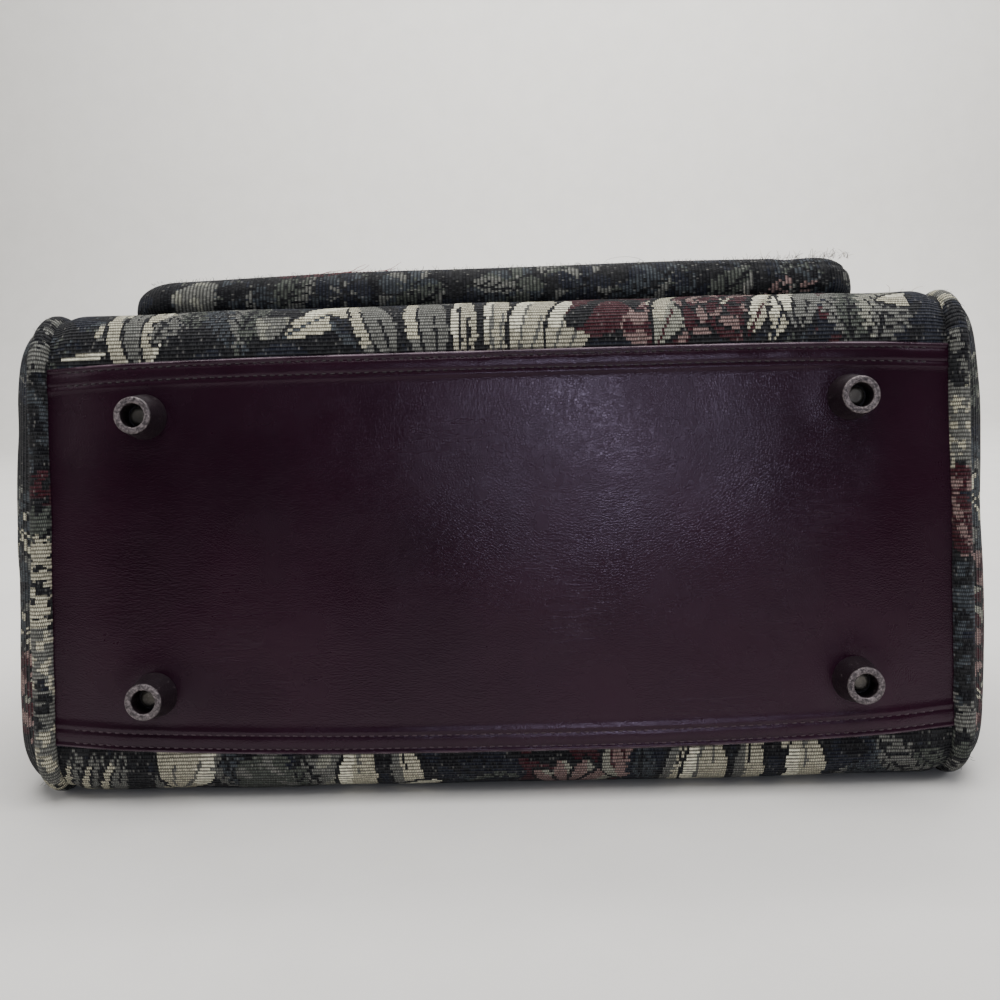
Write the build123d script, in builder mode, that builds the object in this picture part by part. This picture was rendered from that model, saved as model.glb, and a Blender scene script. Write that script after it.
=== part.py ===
from build123d import *
import math
import os

# A carpet bag with a leather base, lying on its back panel. All sizes in millimetres.
# The bag is described as it stands on its feet: across it, behind its middle, and up from its base.

# Body
half_width = 192.0  # from the middle to the ends of the front and back panels
base_half_depth = 110.5  # to the sharp corner that the base and a panel would make
waist_half_depth = 87.0
mouth_half_depth = 56.0
waist_height = 200.0
mouth_height = 300.0
corner_radius = 24.0
waist_radius = 120.0
cloth = 2.5  # tapestry with its backing
seam_gap = 0.3  # room left where soft pieces meet
piping_radius = 3.5
gusset_bulge = 17.0
gusset_slope = 18.0  # width of the sloping rim round each end
gusset_rim = 0.6  # how far the rim stays inside the panels' outline

# Base
leather = 2.2
base_panel_half_depth = 87.0
base_panel_corner = 10.0
panel_hem = 15.0  # width of the side panels that is sewn under the leather
board_half_length = 172.5
board_half_depth = 71.0
board = 3.0
foot_half_spacing = 150.5
foot_half_gauge = 60.0
foot_radius = 9.8
foot_tip_radius = 7.7
foot_height = 15.0
foot_floor = 5.0
foot_bore_radius = 4.95
foot_rivet_head_radius = 4.2
foot_rivet_head = 2.4
foot_tip_rounding = 0.9
head_rounding = 0.8  # share of a rivet head's height that is rounded off
washer_radius = 6.0
washer = 1.2
rivet_radius = 1.5
rivet_room = 0.2
rivet_tail_radius = 2.6
rivet_tail = 0.8

# Lining
lining = 0.8
lining_inset = 5.0  # from the outside of the panels
lining_half_width = 191.0
lining_room = 0.4  # above the ends of the base rivets

# Mouth and zip
strip_inner_edge = 11.0
tape = 0.8
tape_lap = 9.0  # width of the tape under each strip
tape_half_length = 185.0
chain_half_length = 172.0
chain_inner_edge = 0.7
chain_outer_edge = 3.1
chain_thickness = 2.2
chain_above_tape = 0.7
stop_length = 3.5
slider_at = 160.0
slider_length = 12.0
slider_half_width = 4.6
slider_plate = 1.4
slider_corner = 1.5
slider_room = 0.4
slider_post_length = 4.0
slider_post_half_width = 0.35
bail_radius = 4.2
bail_wire = 1.6
bail_half_width = 1.3
pull_ring_radius = 4.5
pull_ring_wire = 0.8
pull_ring_drop = 1.8  # from the bail's bar to the ring's middle
pull_hole_margin = 2.5  # from the hole to the end of the pull
pull_hole_room = 0.5
pull_length = 38.0
pull_half_width = 6.0
pull_leather = 2.4

# Handles
tab_half_spacing = 70.0
tab_half_width = 12.0
tab_length = 45.0
tab_leather = 1.8
tab_neck = 14.0  # length over which the tab rises to its loop
hinge_below_mouth = 12.5
hinge_stand_off = 6.1  # from the panel to the axis of the ring's bar
ring_wire = 2.0
ring_half_width = 15.0
ring_length = 20.0
ring_bar_corner = 2.6
ring_corner = 7.0
ring_room = 0.3
handle_radius = 5.5
handle_reach = 99.0  # from the hinge to the middle of the grip
handle_bend = 60.0
handle_eye_half_length = 7.0
tab_rivet_at = 30.0  # below the hinge
tab_rivet_head_radius = 4.5
tab_rivet_head = 1.6
tab_rivet_cap = 1.0

# Front pocket
pocket_half_width = 170.0
pocket_bottom = 40.0  # along the panel, from the base
pocket_height = 125.0
pocket_depth = 28.0
pocket_corner = 12.0
pocket_rim = 10.0
binding = 1.0
binding_width = 12.0

# The bag leans so that the lower part of its back panel lies flat.
lean = math.atan2(base_half_depth - waist_half_depth, waist_height)
across = Vector(1, 0, 0)
back = Vector(0, -math.sin(lean), -math.cos(lean))
up = Vector(0, math.cos(lean), -math.sin(lean))
rest_height = (corner_radius + waist_height) / 2
rest_depth = base_half_depth - rest_height * math.tan(lean)
middle = back * -rest_depth + up * -rest_height


def place(x, depth, height):
    """A point across the bag, behind its middle and above its base."""
    return middle + across * x + back * depth + up * height


bag = Plane(origin=middle, x_dir=across, z_dir=up)
side = Plane(origin=middle, x_dir=back, z_dir=across)

os.makedirs("parts", exist_ok=True)


def save(builder, name):
    builder.part.label = name
    export_step(builder.part, f"parts/{name}.step")


def rising(facing, low, high):
    """The direction up a panel between two (depth, height) points of its outline."""
    return (place(0, facing * high[0], high[1]) - place(0, facing * low[0], low[1])).normalized()


# Outline points on one side, as (depth, height)
base_point = (base_half_depth, 0.0)
waist_point = (waist_half_depth, waist_height)
mouth_point = (mouth_half_depth, mouth_height)
front, rear = -1, 1
sides = {"left": -1, "right": 1}

# Front and back panels: each runs from under the base, round the corner and up to the mouth.
hem_start = base_panel_half_depth - panel_hem


def tab_plane(facing):
    """On a panel's outer face, below the hinge's axis: x across, y up the panel, z outwards."""
    rise = rising(facing, waist_point, mouth_point)
    out = across.cross(rise) * -facing
    origin = place(0, facing * mouth_half_depth, mouth_height) - rise * hinge_below_mouth
    return Plane(origin=origin, x_dir=across * -facing, z_dir=out)


for name, facing in (("front_panel", front), ("back_panel", rear)):
    with BuildPart() as panel:
        with BuildSketch(side.offset(-half_width)):
            with BuildLine():
                FilletPolyline(
                    (facing * hem_start, 0),
                    (facing * base_point[0], base_point[1]),
                    (facing * waist_point[0], waist_point[1]),
                    (facing * mouth_point[0], mouth_point[1]),
                    radius=[corner_radius, waist_radius],
                )
                offset(amount=cloth, side=Side.LEFT if facing == rear else Side.RIGHT)
            make_face()
        extrude(amount=2 * half_width)
        with BuildSketch(tab_plane(facing)):
            with Locations((-tab_half_spacing, -tab_rivet_at), (tab_half_spacing, -tab_rivet_at)):
                Circle(rivet_radius + rivet_room)
        extrude(amount=2 * cloth, both=True, mode=Mode.SUBTRACT)
    save(panel, name)

# Leather base, with holes for the rivets of its feet
foot_spots = GridLocations(2 * foot_half_spacing, 2 * foot_half_gauge, 2, 2)
with BuildPart() as base_panel:
    with BuildSketch(bag.offset(-leather - seam_gap)):
        RectangleRounded(2 * half_width, 2 * base_panel_half_depth, base_panel_corner)
        with foot_spots:
            Circle(rivet_radius + rivet_room, mode=Mode.SUBTRACT)
    extrude(amount=leather)
save(base_panel, "base_panel")

with BuildPart() as base_board:
    with BuildSketch(bag):
        RectangleRounded(2 * board_half_length, 2 * board_half_depth, base_panel_corner)
        with foot_spots:
            Circle(rivet_radius + rivet_room, mode=Mode.SUBTRACT)
    extrude(amount=board)
save(base_board, "base_board")


def outline(inset, low):
    """Corner points of the bag's outline seen from an end, as (depth, height)."""
    half = [
        (mouth_half_depth - inset, mouth_height),
        (waist_half_depth - inset, waist_height),
        (base_half_depth - inset, low),
    ]
    return half + [(-depth, height) for depth, height in reversed(half)]


# Piping round the front, base and back edges of each end
piping_radii = [waist_radius, corner_radius, corner_radius, waist_radius]
piping_inset = piping_radius + seam_gap
piping_at = half_width + seam_gap + piping_radius
for name, hand in sides.items():
    with BuildPart() as piping:
        with BuildLine(side.offset(hand * piping_at)) as piping_path:
            FilletPolyline(*outline(piping_inset, piping_radius - leather), radius=piping_radii)
        with BuildSketch(Plane(origin=piping_path.line @ 0, z_dir=piping_path.line % 0)):
            Circle(piping_radius)
        sweep()
    save(piping, f"piping_{name}")

# End gussets: shallow dished panels, open towards the inside of the bag
gusset_start = piping_at + piping_radius + seam_gap


def gusset_points(inset):
    """Corners of the gusset's outline, set in from the bag's outline all round."""
    corners = outline(inset, inset)
    return [(depth, height - inset if height == mouth_height else height) for depth, height in corners]


def gusset_radii(inset):
    base_radius = corner_radius - inset
    return [0, waist_radius, base_radius, base_radius, waist_radius, 0]


rim_outside = (gusset_start, gusset_rim)
dome_outside = (gusset_start + gusset_bulge, gusset_rim + gusset_slope)
rim_inside = (gusset_start - seam_gap, gusset_rim + cloth)
dome_inside = (gusset_start + gusset_bulge - cloth, gusset_rim + gusset_slope + cloth / 2)
for name, hand in sides.items():
    with BuildPart() as gusset:
        for at, inset in (rim_outside, dome_outside):
            with BuildSketch(side.offset(hand * at)):
                with BuildLine():
                    FilletPolyline(*gusset_points(inset), radius=gusset_radii(inset), close=True)
                make_face()
        loft(ruled=True)
        for at, inset in (rim_inside, dome_inside):
            with BuildSketch(side.offset(hand * at)):
                with BuildLine():
                    FilletPolyline(*gusset_points(inset), radius=gusset_radii(inset), close=True)
                make_face()
        loft(ruled=True, mode=Mode.SUBTRACT)
    save(gusset, f"end_gusset_{name}")

# Lining: an open bag of thin cloth over the base board
lining_bottom = board + washer + rivet_tail + lining_room
lining_top = mouth_height - cloth - seam_gap
with BuildPart() as lining_bag:
    with BuildSketch(side.offset(-lining_half_width)):
        with BuildLine():
            FilletPolyline(
                *[
                    (depth, lining_top if height == mouth_height else height)
                    for depth, height in outline(lining_inset, lining_bottom)
                ],
                radius=[0, waist_radius, corner_radius, corner_radius, waist_radius, 0],
                close=True,
            )
        make_face()
    extrude(amount=2 * lining_half_width)
    lining_mouth = lining_bag.faces().sort_by(Axis(middle, up))[-1]
    offset(amount=-lining, openings=lining_mouth)
save(lining_bag, "lining")


# Feet: tapered tubes with a floor, each held by a rivet and a washer above the board
def foot_plane(x, depth):
    """Under the leather at a foot: z points away from the bag."""
    return Plane(origin=place(x, depth, -leather - seam_gap), x_dir=across, z_dir=-up)


foot_taper = math.degrees(math.atan2(foot_radius - foot_tip_radius, foot_height))
for row, facing in (("front", front), ("back", rear)):
    for name, hand in sides.items():
        under = foot_plane(hand * foot_half_spacing, facing * foot_half_gauge)
        board_top = -leather - seam_gap - board
        with BuildPart() as foot:
            with BuildSketch(under):
                Circle(foot_radius)
            extrude(amount=foot_height, taper=foot_taper)
            with BuildSketch(under.offset(foot_floor)):
                Circle(foot_bore_radius)
            extrude(amount=foot_height, mode=Mode.SUBTRACT)
            with BuildSketch(under):
                Circle(rivet_radius + rivet_room)
            extrude(amount=foot_floor, mode=Mode.SUBTRACT)
            tip_edges = foot.edges().group_by(Axis(under.origin, under.z_dir))[-1]
            fillet(tip_edges, radius=foot_tip_rounding)
        save(foot, f"foot_{row}_{name}")
        with BuildPart() as foot_rivet:
            with BuildSketch(under.offset(foot_floor)):
                Circle(foot_rivet_head_radius)
            extrude(amount=foot_rivet_head)
            head_edge = foot_rivet.edges().group_by(Axis(under.origin, under.z_dir))[-1]
            fillet(head_edge, radius=foot_rivet_head * head_rounding)
            with BuildSketch(under.offset(board_top - washer)):
                Circle(rivet_radius)
            extrude(amount=foot_floor - board_top + washer)
            with BuildSketch(under.offset(board_top - washer - rivet_tail)):
                Circle(rivet_tail_radius)
            extrude(amount=rivet_tail)
        save(foot_rivet, f"foot_rivet_{row}_{name}")
        with BuildPart() as foot_washer:
            with BuildSketch(under.offset(board_top - washer)):
                Circle(washer_radius)
                Circle(rivet_radius + rivet_room, mode=Mode.SUBTRACT)
            extrude(amount=washer)
        save(foot_washer, f"foot_washer_{row}_{name}")

# Mouth: a strip on each side, with the zip's tapes sewn under their edges
strip_bottom = mouth_height - cloth
tape_top = strip_bottom - seam_gap
chain_top = tape_top + chain_above_tape
slope_at_mouth = (waist_half_depth - mouth_half_depth) / (mouth_height - waist_height)
panel_inner = mouth_half_depth - cloth / math.cos(math.atan(slope_at_mouth))
strip_outer_edge = panel_inner - seam_gap
for name, facing in (("front", front), ("back", rear)):
    with BuildPart() as strip:
        with BuildSketch(bag.offset(strip_bottom)):
            with Locations((0, facing * (strip_outer_edge + strip_inner_edge) / 2)):
                Rectangle(2 * half_width, strip_outer_edge - strip_inner_edge)
        extrude(amount=cloth)
    save(strip, f"mouth_strip_{name}")
    tape_inner = chain_outer_edge + seam_gap
    tape_outer = strip_inner_edge + tape_lap
    with BuildPart() as zip_tape:
        with BuildSketch(bag.offset(tape_top - tape)):
            with Locations((0, facing * (tape_inner + tape_outer) / 2)):
                Rectangle(2 * tape_half_length, tape_outer - tape_inner)
        extrude(amount=tape)
    save(zip_tape, f"zip_tape_{name}")
    with BuildPart() as zip_chain:
        with BuildSketch(bag.offset(chain_top - chain_thickness)):
            with Locations((0, facing * (chain_inner_edge + chain_outer_edge) / 2)):
                Rectangle(2 * chain_half_length, chain_outer_edge - chain_inner_edge)
        extrude(amount=chain_thickness)
    save(zip_chain, f"zip_chain_{name}")

for name, hand in sides.items():
    with BuildPart() as zip_stop:
        with BuildSketch(bag.offset(chain_top - chain_thickness)):
            with Locations((hand * (chain_half_length + seam_gap + stop_length / 2), 0)):
                Rectangle(stop_length, 2 * chain_outer_edge)
        extrude(amount=chain_thickness)
    save(zip_stop, f"zip_stop_{name}")

# Zip slider: a plate above and below the chain, a post between its halves, and a bail on top
slider_base = chain_top - chain_thickness - slider_room
slider_roof = chain_top + slider_room
bail_foot = slider_roof + slider_plate
bail_centre = bail_foot + bail_radius - bail_wire
with BuildPart() as slider:
    for low in (slider_base - slider_plate, slider_roof):
        with BuildSketch(bag.offset(low)):
            with Locations((slider_at, 0)):
                RectangleRounded(slider_length, 2 * slider_half_width, slider_corner)
        extrude(amount=slider_plate)
    with BuildSketch(bag.offset(slider_base)):
        with Locations((slider_at, 0)):
            Rectangle(slider_post_length, 2 * slider_post_half_width)
    extrude(amount=slider_roof - slider_base)
    with BuildSketch(Plane(origin=place(slider_at, 0, bail_foot), x_dir=across, z_dir=-back)):
        Rectangle(2 * bail_radius, bail_centre - bail_foot, align=(Align.CENTER, Align.MIN))
        with Locations((0, bail_centre - bail_foot)):
            Circle(bail_radius)
        with Locations((0, bail_centre - bail_foot)):
            Circle(bail_radius - bail_wire, mode=Mode.SUBTRACT)
        with Locations((0, -bail_radius)):
            Rectangle(2 * bail_radius, 2 * bail_radius, mode=Mode.SUBTRACT)
    extrude(amount=bail_half_width, both=True)
save(slider, "zip_slider")

# Zip pull: a wire ring round the bail's top, and a leather tab that hangs from the ring
down = Vector(0, 0, -1)
pull_hinge = place(slider_at, 0, bail_centre + bail_radius - bail_wire / 2)
pull_side = Plane(origin=pull_hinge, x_dir=down, z_dir=across)
with BuildPart() as pull_ring:
    with BuildLine(pull_side) as pull_ring_path:
        CenterArc((pull_ring_drop, 0), pull_ring_radius, 0, 360)
    with BuildSketch(Plane(origin=pull_ring_path.line @ 0, z_dir=pull_ring_path.line % 0)):
        Circle(pull_ring_wire)
    sweep()
save(pull_ring, "zip_pull_ring")

pull_hole = pull_hinge + down * (pull_ring_drop + pull_ring_radius)
with BuildPart() as pull_tab:
    with BuildSketch(Plane(origin=pull_hole, x_dir=down, z_dir=across.cross(down))):
        with Locations((-pull_hole_margin, 0)):
            Rectangle(pull_length, 2 * pull_half_width, align=(Align.MIN, Align.CENTER))
        Circle(pull_ring_wire + pull_hole_room, mode=Mode.SUBTRACT)
    extrude(amount=pull_leather / 2, both=True)
save(pull_tab, "zip_pull_tab")

# Handles: at each end a leather tab riveted to the panel, a wire ring in the tab's loop, and the
# handle's own eye round the ring. The front handle lies on the rivets of its tabs, and the back
# handle lies beyond the mouth, on the ground.
loop_bore = ring_wire + ring_room
loop_radius = loop_bore + tab_leather
tab_top = seam_gap + 2 * tab_leather
handle_lift = tab_top + tab_rivet_head + handle_radius + seam_gap - hinge_stand_off
handle_tilt = math.asin(handle_lift / (tab_rivet_at - tab_rivet_head_radius))
for row, facing in (("front", front), ("back", rear)):
    face = tab_plane(facing)
    hinge = face.origin + face.z_dir * hinge_stand_off
    if facing == front:
        reach = -face.y_dir * math.cos(handle_tilt) + face.z_dir * math.sin(handle_tilt)
    else:
        droop = math.asin((hinge.Z - handle_radius - seam_gap) / handle_reach)
        reach = Vector(0, math.cos(droop), -math.sin(droop))
    swing = Plane(origin=hinge, x_dir=across, z_dir=across.cross(reach))
    for name, hand in sides.items():
        shift = across * hand * tab_half_spacing
        section = Plane(origin=face.origin + shift, x_dir=face.y_dir, z_dir=face.x_dir)
        with BuildPart() as tab:
            with BuildSketch(section):
                with Locations((-tab_length, seam_gap)):
                    Rectangle(tab_length - tab_neck / 2, 2 * tab_leather, align=(Align.MIN, Align.MIN))
                with BuildLine():
                    Polyline(
                        (-tab_neck, seam_gap),
                        (0, hinge_stand_off - loop_radius),
                        (0, hinge_stand_off + loop_radius),
                        (-tab_neck, tab_top),
                        close=True,
                    )
                make_face()
                with Locations((0, hinge_stand_off)):
                    Circle(loop_radius)
                with Locations((0, hinge_stand_off)):
                    Circle(loop_bore, mode=Mode.SUBTRACT)
            extrude(amount=tab_half_width, both=True)
            rivet_at = face.origin + shift - face.y_dir * tab_rivet_at
            rivet_plane = Plane(origin=rivet_at, x_dir=face.x_dir, z_dir=face.z_dir)
            with BuildSketch(rivet_plane):
                Circle(rivet_radius + rivet_room)
            extrude(amount=tab_top + tab_leather, mode=Mode.SUBTRACT)
        save(tab, f"handle_tab_{row}_{name}")
        with BuildPart() as tab_rivet:
            with BuildSketch(rivet_plane.offset(tab_top)):
                Circle(tab_rivet_head_radius)
            extrude(amount=tab_rivet_head)
            tab_head_edge = tab_rivet.edges().group_by(Axis(rivet_at, face.z_dir))[-1]
            fillet(tab_head_edge, radius=tab_rivet_head * head_rounding)
            with BuildSketch(rivet_plane.offset(-cloth)):
                Circle(rivet_radius)
            extrude(amount=cloth + tab_top)
            with BuildSketch(rivet_plane.offset(-cloth - tab_rivet_cap)):
                Circle(tab_rivet_head_radius)
            extrude(amount=tab_rivet_cap)
        save(tab_rivet, f"tab_rivet_{row}_{name}")
        with BuildPart() as ring:
            ring_plane = Plane(origin=hinge + shift, x_dir=across, z_dir=swing.z_dir)
            with BuildLine(ring_plane) as ring_path:
                FilletPolyline(
                    (-ring_half_width, 0),
                    (ring_half_width, 0),
                    (ring_half_width, ring_length),
                    (-ring_half_width, ring_length),
                    radius=[ring_bar_corner, ring_bar_corner, ring_corner, ring_corner],
                    close=True,
                )
            with BuildSketch(Plane(origin=ring_path.line @ 0, z_dir=ring_path.line % 0)):
                Circle(ring_wire)
            sweep()
        save(ring, f"handle_ring_{row}_{name}")
    with BuildPart() as handle:
        with BuildLine(swing) as handle_path:
            FilletPolyline(
                (-tab_half_spacing, ring_length),
                (-tab_half_spacing, handle_reach),
                (tab_half_spacing, handle_reach),
                (tab_half_spacing, ring_length),
                radius=handle_bend,
            )
        with BuildSketch(Plane(origin=handle_path.line @ 0, z_dir=handle_path.line % 0)):
            Circle(handle_radius)
        sweep()
        for radius, mode in ((handle_radius, Mode.ADD), (loop_bore, Mode.SUBTRACT)):
            for hand in sides.values():
                eye = hinge + across * hand * tab_half_spacing + reach * ring_length
                with BuildSketch(Plane(origin=eye, x_dir=reach, z_dir=across)):
                    Circle(radius)
                extrude(amount=handle_eye_half_length, both=True, mode=mode)
    save(handle, f"handle_{row}")

# Front pocket: a pouch sewn to the front panel, open towards the bag's mouth, and its binding
pocket_rise = rising(front, base_point, waist_point)
pocket_plane = Plane(
    origin=place(0, front * base_half_depth, 0),
    x_dir=across,
    z_dir=across.cross(pocket_rise),
)
pocket_top = pocket_bottom + pocket_height
with BuildPart() as pocket:
    with BuildSketch(pocket_plane.offset(seam_gap)):
        with Locations((0, pocket_bottom)):
            Rectangle(2 * pocket_half_width, pocket_height, align=(Align.CENTER, Align.MIN))
    extrude(amount=pocket_depth)
    out_axis = Axis(pocket_plane.origin, pocket_plane.z_dir)
    rise_axis = Axis(pocket_plane.origin, pocket_rise)
    fillet(pocket.edges().filter_by(out_axis).group_by(rise_axis)[0], radius=pocket_corner)
    outer_edges = pocket.faces().sort_by(out_axis)[-1].edges()
    fillet(outer_edges.sort_by(rise_axis)[:-1], radius=pocket_rim)
    pocket_back = pocket.faces().sort_by(out_axis)[0]
    pocket_mouth = pocket.faces().sort_by(rise_axis)[-1]
    offset(amount=-cloth, openings=[pocket_back, pocket_mouth])
save(pocket, "front_pocket")

wall_top = seam_gap + pocket_depth
binding_half_length = pocket_half_width - pocket_corner - 2 * binding
binding_low = pocket_top + seam_gap - binding_width
binding_inside = wall_top - cloth - seam_gap
with BuildPart() as pocket_binding:
    with BuildSketch(Plane(origin=pocket_plane.origin, x_dir=pocket_rise, z_dir=across)):
        with Locations((binding_low + binding, binding_inside - binding)):
            Rectangle(
                binding_width,
                cloth + 2 * seam_gap + 2 * binding,
                align=(Align.MIN, Align.MIN),
            )
        with Locations((binding_low, binding_inside)):
            Rectangle(
                binding_width,
                cloth + 2 * seam_gap,
                align=(Align.MIN, Align.MIN),
                mode=Mode.SUBTRACT,
            )
    extrude(amount=binding_half_length, both=True)
save(pocket_binding, "pocket_binding")
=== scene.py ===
"""Looks for the carpet bag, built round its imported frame. Lengths are in metres."""

import math

import bpy
import numpy as np
from mathutils import Matrix, Vector


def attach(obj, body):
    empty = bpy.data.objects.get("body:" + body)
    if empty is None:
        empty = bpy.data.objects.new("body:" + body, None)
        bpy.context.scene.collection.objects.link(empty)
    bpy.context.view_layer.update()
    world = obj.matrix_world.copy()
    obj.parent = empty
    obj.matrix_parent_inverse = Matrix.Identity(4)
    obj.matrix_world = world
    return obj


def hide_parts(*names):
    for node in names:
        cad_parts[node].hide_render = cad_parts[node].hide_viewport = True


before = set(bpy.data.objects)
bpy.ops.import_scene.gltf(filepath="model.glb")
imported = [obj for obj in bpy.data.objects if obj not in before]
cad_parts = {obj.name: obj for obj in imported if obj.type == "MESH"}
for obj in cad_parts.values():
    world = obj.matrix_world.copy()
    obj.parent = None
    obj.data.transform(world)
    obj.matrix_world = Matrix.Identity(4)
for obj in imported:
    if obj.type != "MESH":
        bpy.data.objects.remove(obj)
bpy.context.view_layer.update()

MM = 0.001

# The bag's own sizes, as in the construction: across (x), behind the middle (depth), up from the base.
HALF_WIDTH = 194.5 * MM
BASE_HALF_DEPTH = 110.5 * MM
WAIST_HALF_DEPTH = 87 * MM
MOUTH_HALF_DEPTH = 56 * MM
WAIST_HEIGHT = 200 * MM
MOUTH_HEIGHT = 300 * MM
CORNER_RADIUS = 24 * MM
WAIST_RADIUS = 120 * MM
HEM_START = 72 * MM
LEATHER_OUT = 2.5 * MM  # how far the base's leather stands out from its plane
SEAM_END = 186 * MM  # how far from the middle the long rows of stitches run
STITCH_ROWS = (2.6 * MM, 8.2 * MM)  # in from the leather's folded edges
FOOT_X = 150.5 * MM
FOOT_DEPTH = 60 * MM
LEAN = math.atan2(BASE_HALF_DEPTH - WAIST_HALF_DEPTH, WAIST_HEIGHT)
BACK = np.array((0, -math.sin(LEAN), -math.cos(LEAN)))
UP = np.array((0, math.cos(LEAN), -math.sin(LEAN)))
ACROSS = np.array((1.0, 0, 0))
REST_HEIGHT = (CORNER_RADIUS + WAIST_HEIGHT) / 2
REST_DEPTH = BASE_HALF_DEPTH - REST_HEIGHT * math.tan(LEAN)
MIDDLE = -REST_DEPTH * BACK - REST_HEIGHT * UP
FRONT, REAR = -1, 1

# Cloth
RIB = 1.65 * MM  # one rib of the weave, and one row of faces
STEP = 1.1 * MM  # one float of yarn, and one column of faces
PICK = 0.74 * MM  # how far apart the floats' dark gaps are
PIPING_RADIUS = 4.5 * MM
PIPING_X = 198.0 * MM

# Yarns, by number, and their colours in that order
INK, NAVY, SLATE, MOSS, GREY, CREAM, WINE, ROSE, PALE, BRIGHT = range(10)
YARN_COLOURS = (
    (0.0055, 0.0060, 0.0082),
    (0.0125, 0.0160, 0.0300),
    (0.0620, 0.0740, 0.0860),
    (0.1050, 0.1180, 0.0980),
    (0.2300, 0.2320, 0.2080),
    (0.7700, 0.7300, 0.5500),
    (0.0720, 0.0100, 0.0170),
    (0.3600, 0.2350, 0.2150),
    (0.4300, 0.4300, 0.3500),
    (0.9700, 0.9400, 0.7400),
)
DARK_SPRIGS = ((NAVY, SLATE), (SLATE, GREY), (MOSS, GREY), (NAVY, MOSS), (SLATE, MOSS), (INK, SLATE))
WALL_SPRIGS = ((NAVY, SLATE), (INK, SLATE), (SLATE, MOSS), (NAVY, MOSS), (INK, NAVY), (MOSS, SLATE))


def place(x, depth, height):
    """World points for places across the bag, behind its middle and above its base."""
    x, depth, height = np.broadcast_arrays(np.asarray(x, float), depth, height)
    slack = np.clip(-x / HALF_WIDTH, 0, 1.1) ** 3
    x = x - slack * (0.8 * MM + 2.2 * MM * depth / BASE_HALF_DEPTH)
    return MIDDLE + x[..., None] * ACROSS + depth[..., None] * BACK + height[..., None] * UP


def smooth(t):
    """0 to 1 with an easy start and end."""
    t = np.clip(t, 0, 1)
    return t * t * (3 - 2 * t)


def waves(seed, u, v, size, count=5):
    """Smooth seeded unevenness, about -1 to 1, with bumps of about the given size."""
    made = np.random.default_rng(seed)
    total = 0
    for _ in range(count):
        angle = made.uniform(0, 2 * math.pi)
        pace = 2 * math.pi / (size * made.uniform(1.3, 3.2))
        total = total + np.sin(pace * (u * math.cos(angle) + v * math.sin(angle)) + made.uniform(0, 6.3))
    return total / count * 1.4


def grid(rows, columns):
    return np.meshgrid(rows, columns, indexing="ij")


def units(vectors):
    return vectors / np.linalg.norm(vectors, axis=-1, keepdims=True)


def directions(path):
    return units(np.gradient(path, axis=0))


def lengths(path):
    """How far along a path each of its points is."""
    return np.concatenate(([0], np.cumsum(np.linalg.norm(np.diff(path, axis=0), axis=1))))


def bump_at(distance, width):
    return np.exp(-(distance / width) ** 2)


def rounded(points, radii, step):
    """Evenly spaced points along straight runs whose corners are rounded."""
    points = [np.array(p, float) for p in points]
    out = [points[0]]
    for before, corner, after, radius in zip(points, points[1:], points[2:], radii):
        to_before, to_after = units(before - corner), units(after - corner)
        half = math.acos(np.clip(to_before @ to_after, -1, 1)) / 2
        centre = corner + units(to_before + to_after) * radius / math.sin(half)
        first = corner + to_before * radius / math.tan(half) - centre
        last = corner + to_after * radius / math.tan(half) - centre
        turn = math.pi - 2 * half
        t = np.arange(25)[:, None] / 24
        out.extend(centre + (np.sin((1 - t) * turn) * first + np.sin(t * turn) * last) / math.sin(turn))
    out.append(points[-1])
    out = np.array(out)
    length = lengths(out)
    count = max(int(round(length[-1] / step)), 2)
    at = np.linspace(0, length[-1], count + 1)
    return np.stack([np.interp(at, length, out[:, k]) for k in range(2)], 1), at


def mesh_object(name, points, faces, material, shade=True):
    mesh = bpy.data.meshes.new(name)
    mesh.from_pydata(np.reshape(points, (-1, 3)).tolist(), [], faces)
    mesh.materials.append(material)
    if shade:
        mesh.shade_smooth()
    piece = bpy.data.objects.new(name, mesh)
    bpy.context.scene.collection.objects.link(piece)
    return piece


def grid_faces(rows, columns, close=False):
    """Quads of a grid of points, rows by columns; close joins the last column to the first."""
    r = np.arange(rows - 1)[:, None]
    c = np.arange(columns if close else columns - 1)[None, :]
    after = (c + 1) % columns
    quads = np.stack(np.broadcast_arrays(r * columns + c, (r + 1) * columns + c,
                                         (r + 1) * columns + after, r * columns + after), -1)
    return quads.reshape(-1, 4).tolist()


def tube_faces(rings, sides, count=1):
    """The faces of one or more closed tubes, each of several rings of points."""
    pairs = [(r * sides + k, r * sides + (k + 1) % sides) for r in range(rings - 1) for k in range(sides)]
    faces = [(a, b, b + sides, a + sides) for a, b in pairs]
    faces += [tuple(range(sides))[::-1], tuple(range((rings - 1) * sides, rings * sides))]
    return [tuple(i + n * rings * sides for i in face) for n in range(count) for face in faces]


def sheet_object(name, points, material, along=None, across=None, yarn=None, close=False, flip=False):
    """A grid of points as a mesh, with the cloth's own coordinates on its points and yarns on its faces."""
    rows, columns = points.shape[:2]
    faces = grid_faces(rows, columns, close)
    if flip:
        faces = [face[::-1] for face in faces]
    piece = mesh_object(name, points, faces, material)
    if yarn is not None:
        cloth = np.stack([along, across, np.zeros_like(along)], -1).reshape(-1)
        piece.data.attributes.new("cloth", "FLOAT_VECTOR", "POINT").data.foreach_set("vector", cloth)
        numbers = yarn.reshape(-1).astype(np.float32)
        piece.data.attributes.new("yarn", "FLOAT", "FACE").data.foreach_set("value", numbers)
    return piece


def ride(piece, *nodes, slot, body="bag"):
    """The piece moves with a body; nodes are the construction's pieces that it stands for."""
    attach(piece, body)
    if nodes:
        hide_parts(*nodes)
    return piece


# ---------------------------------------------------------------- materials


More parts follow.
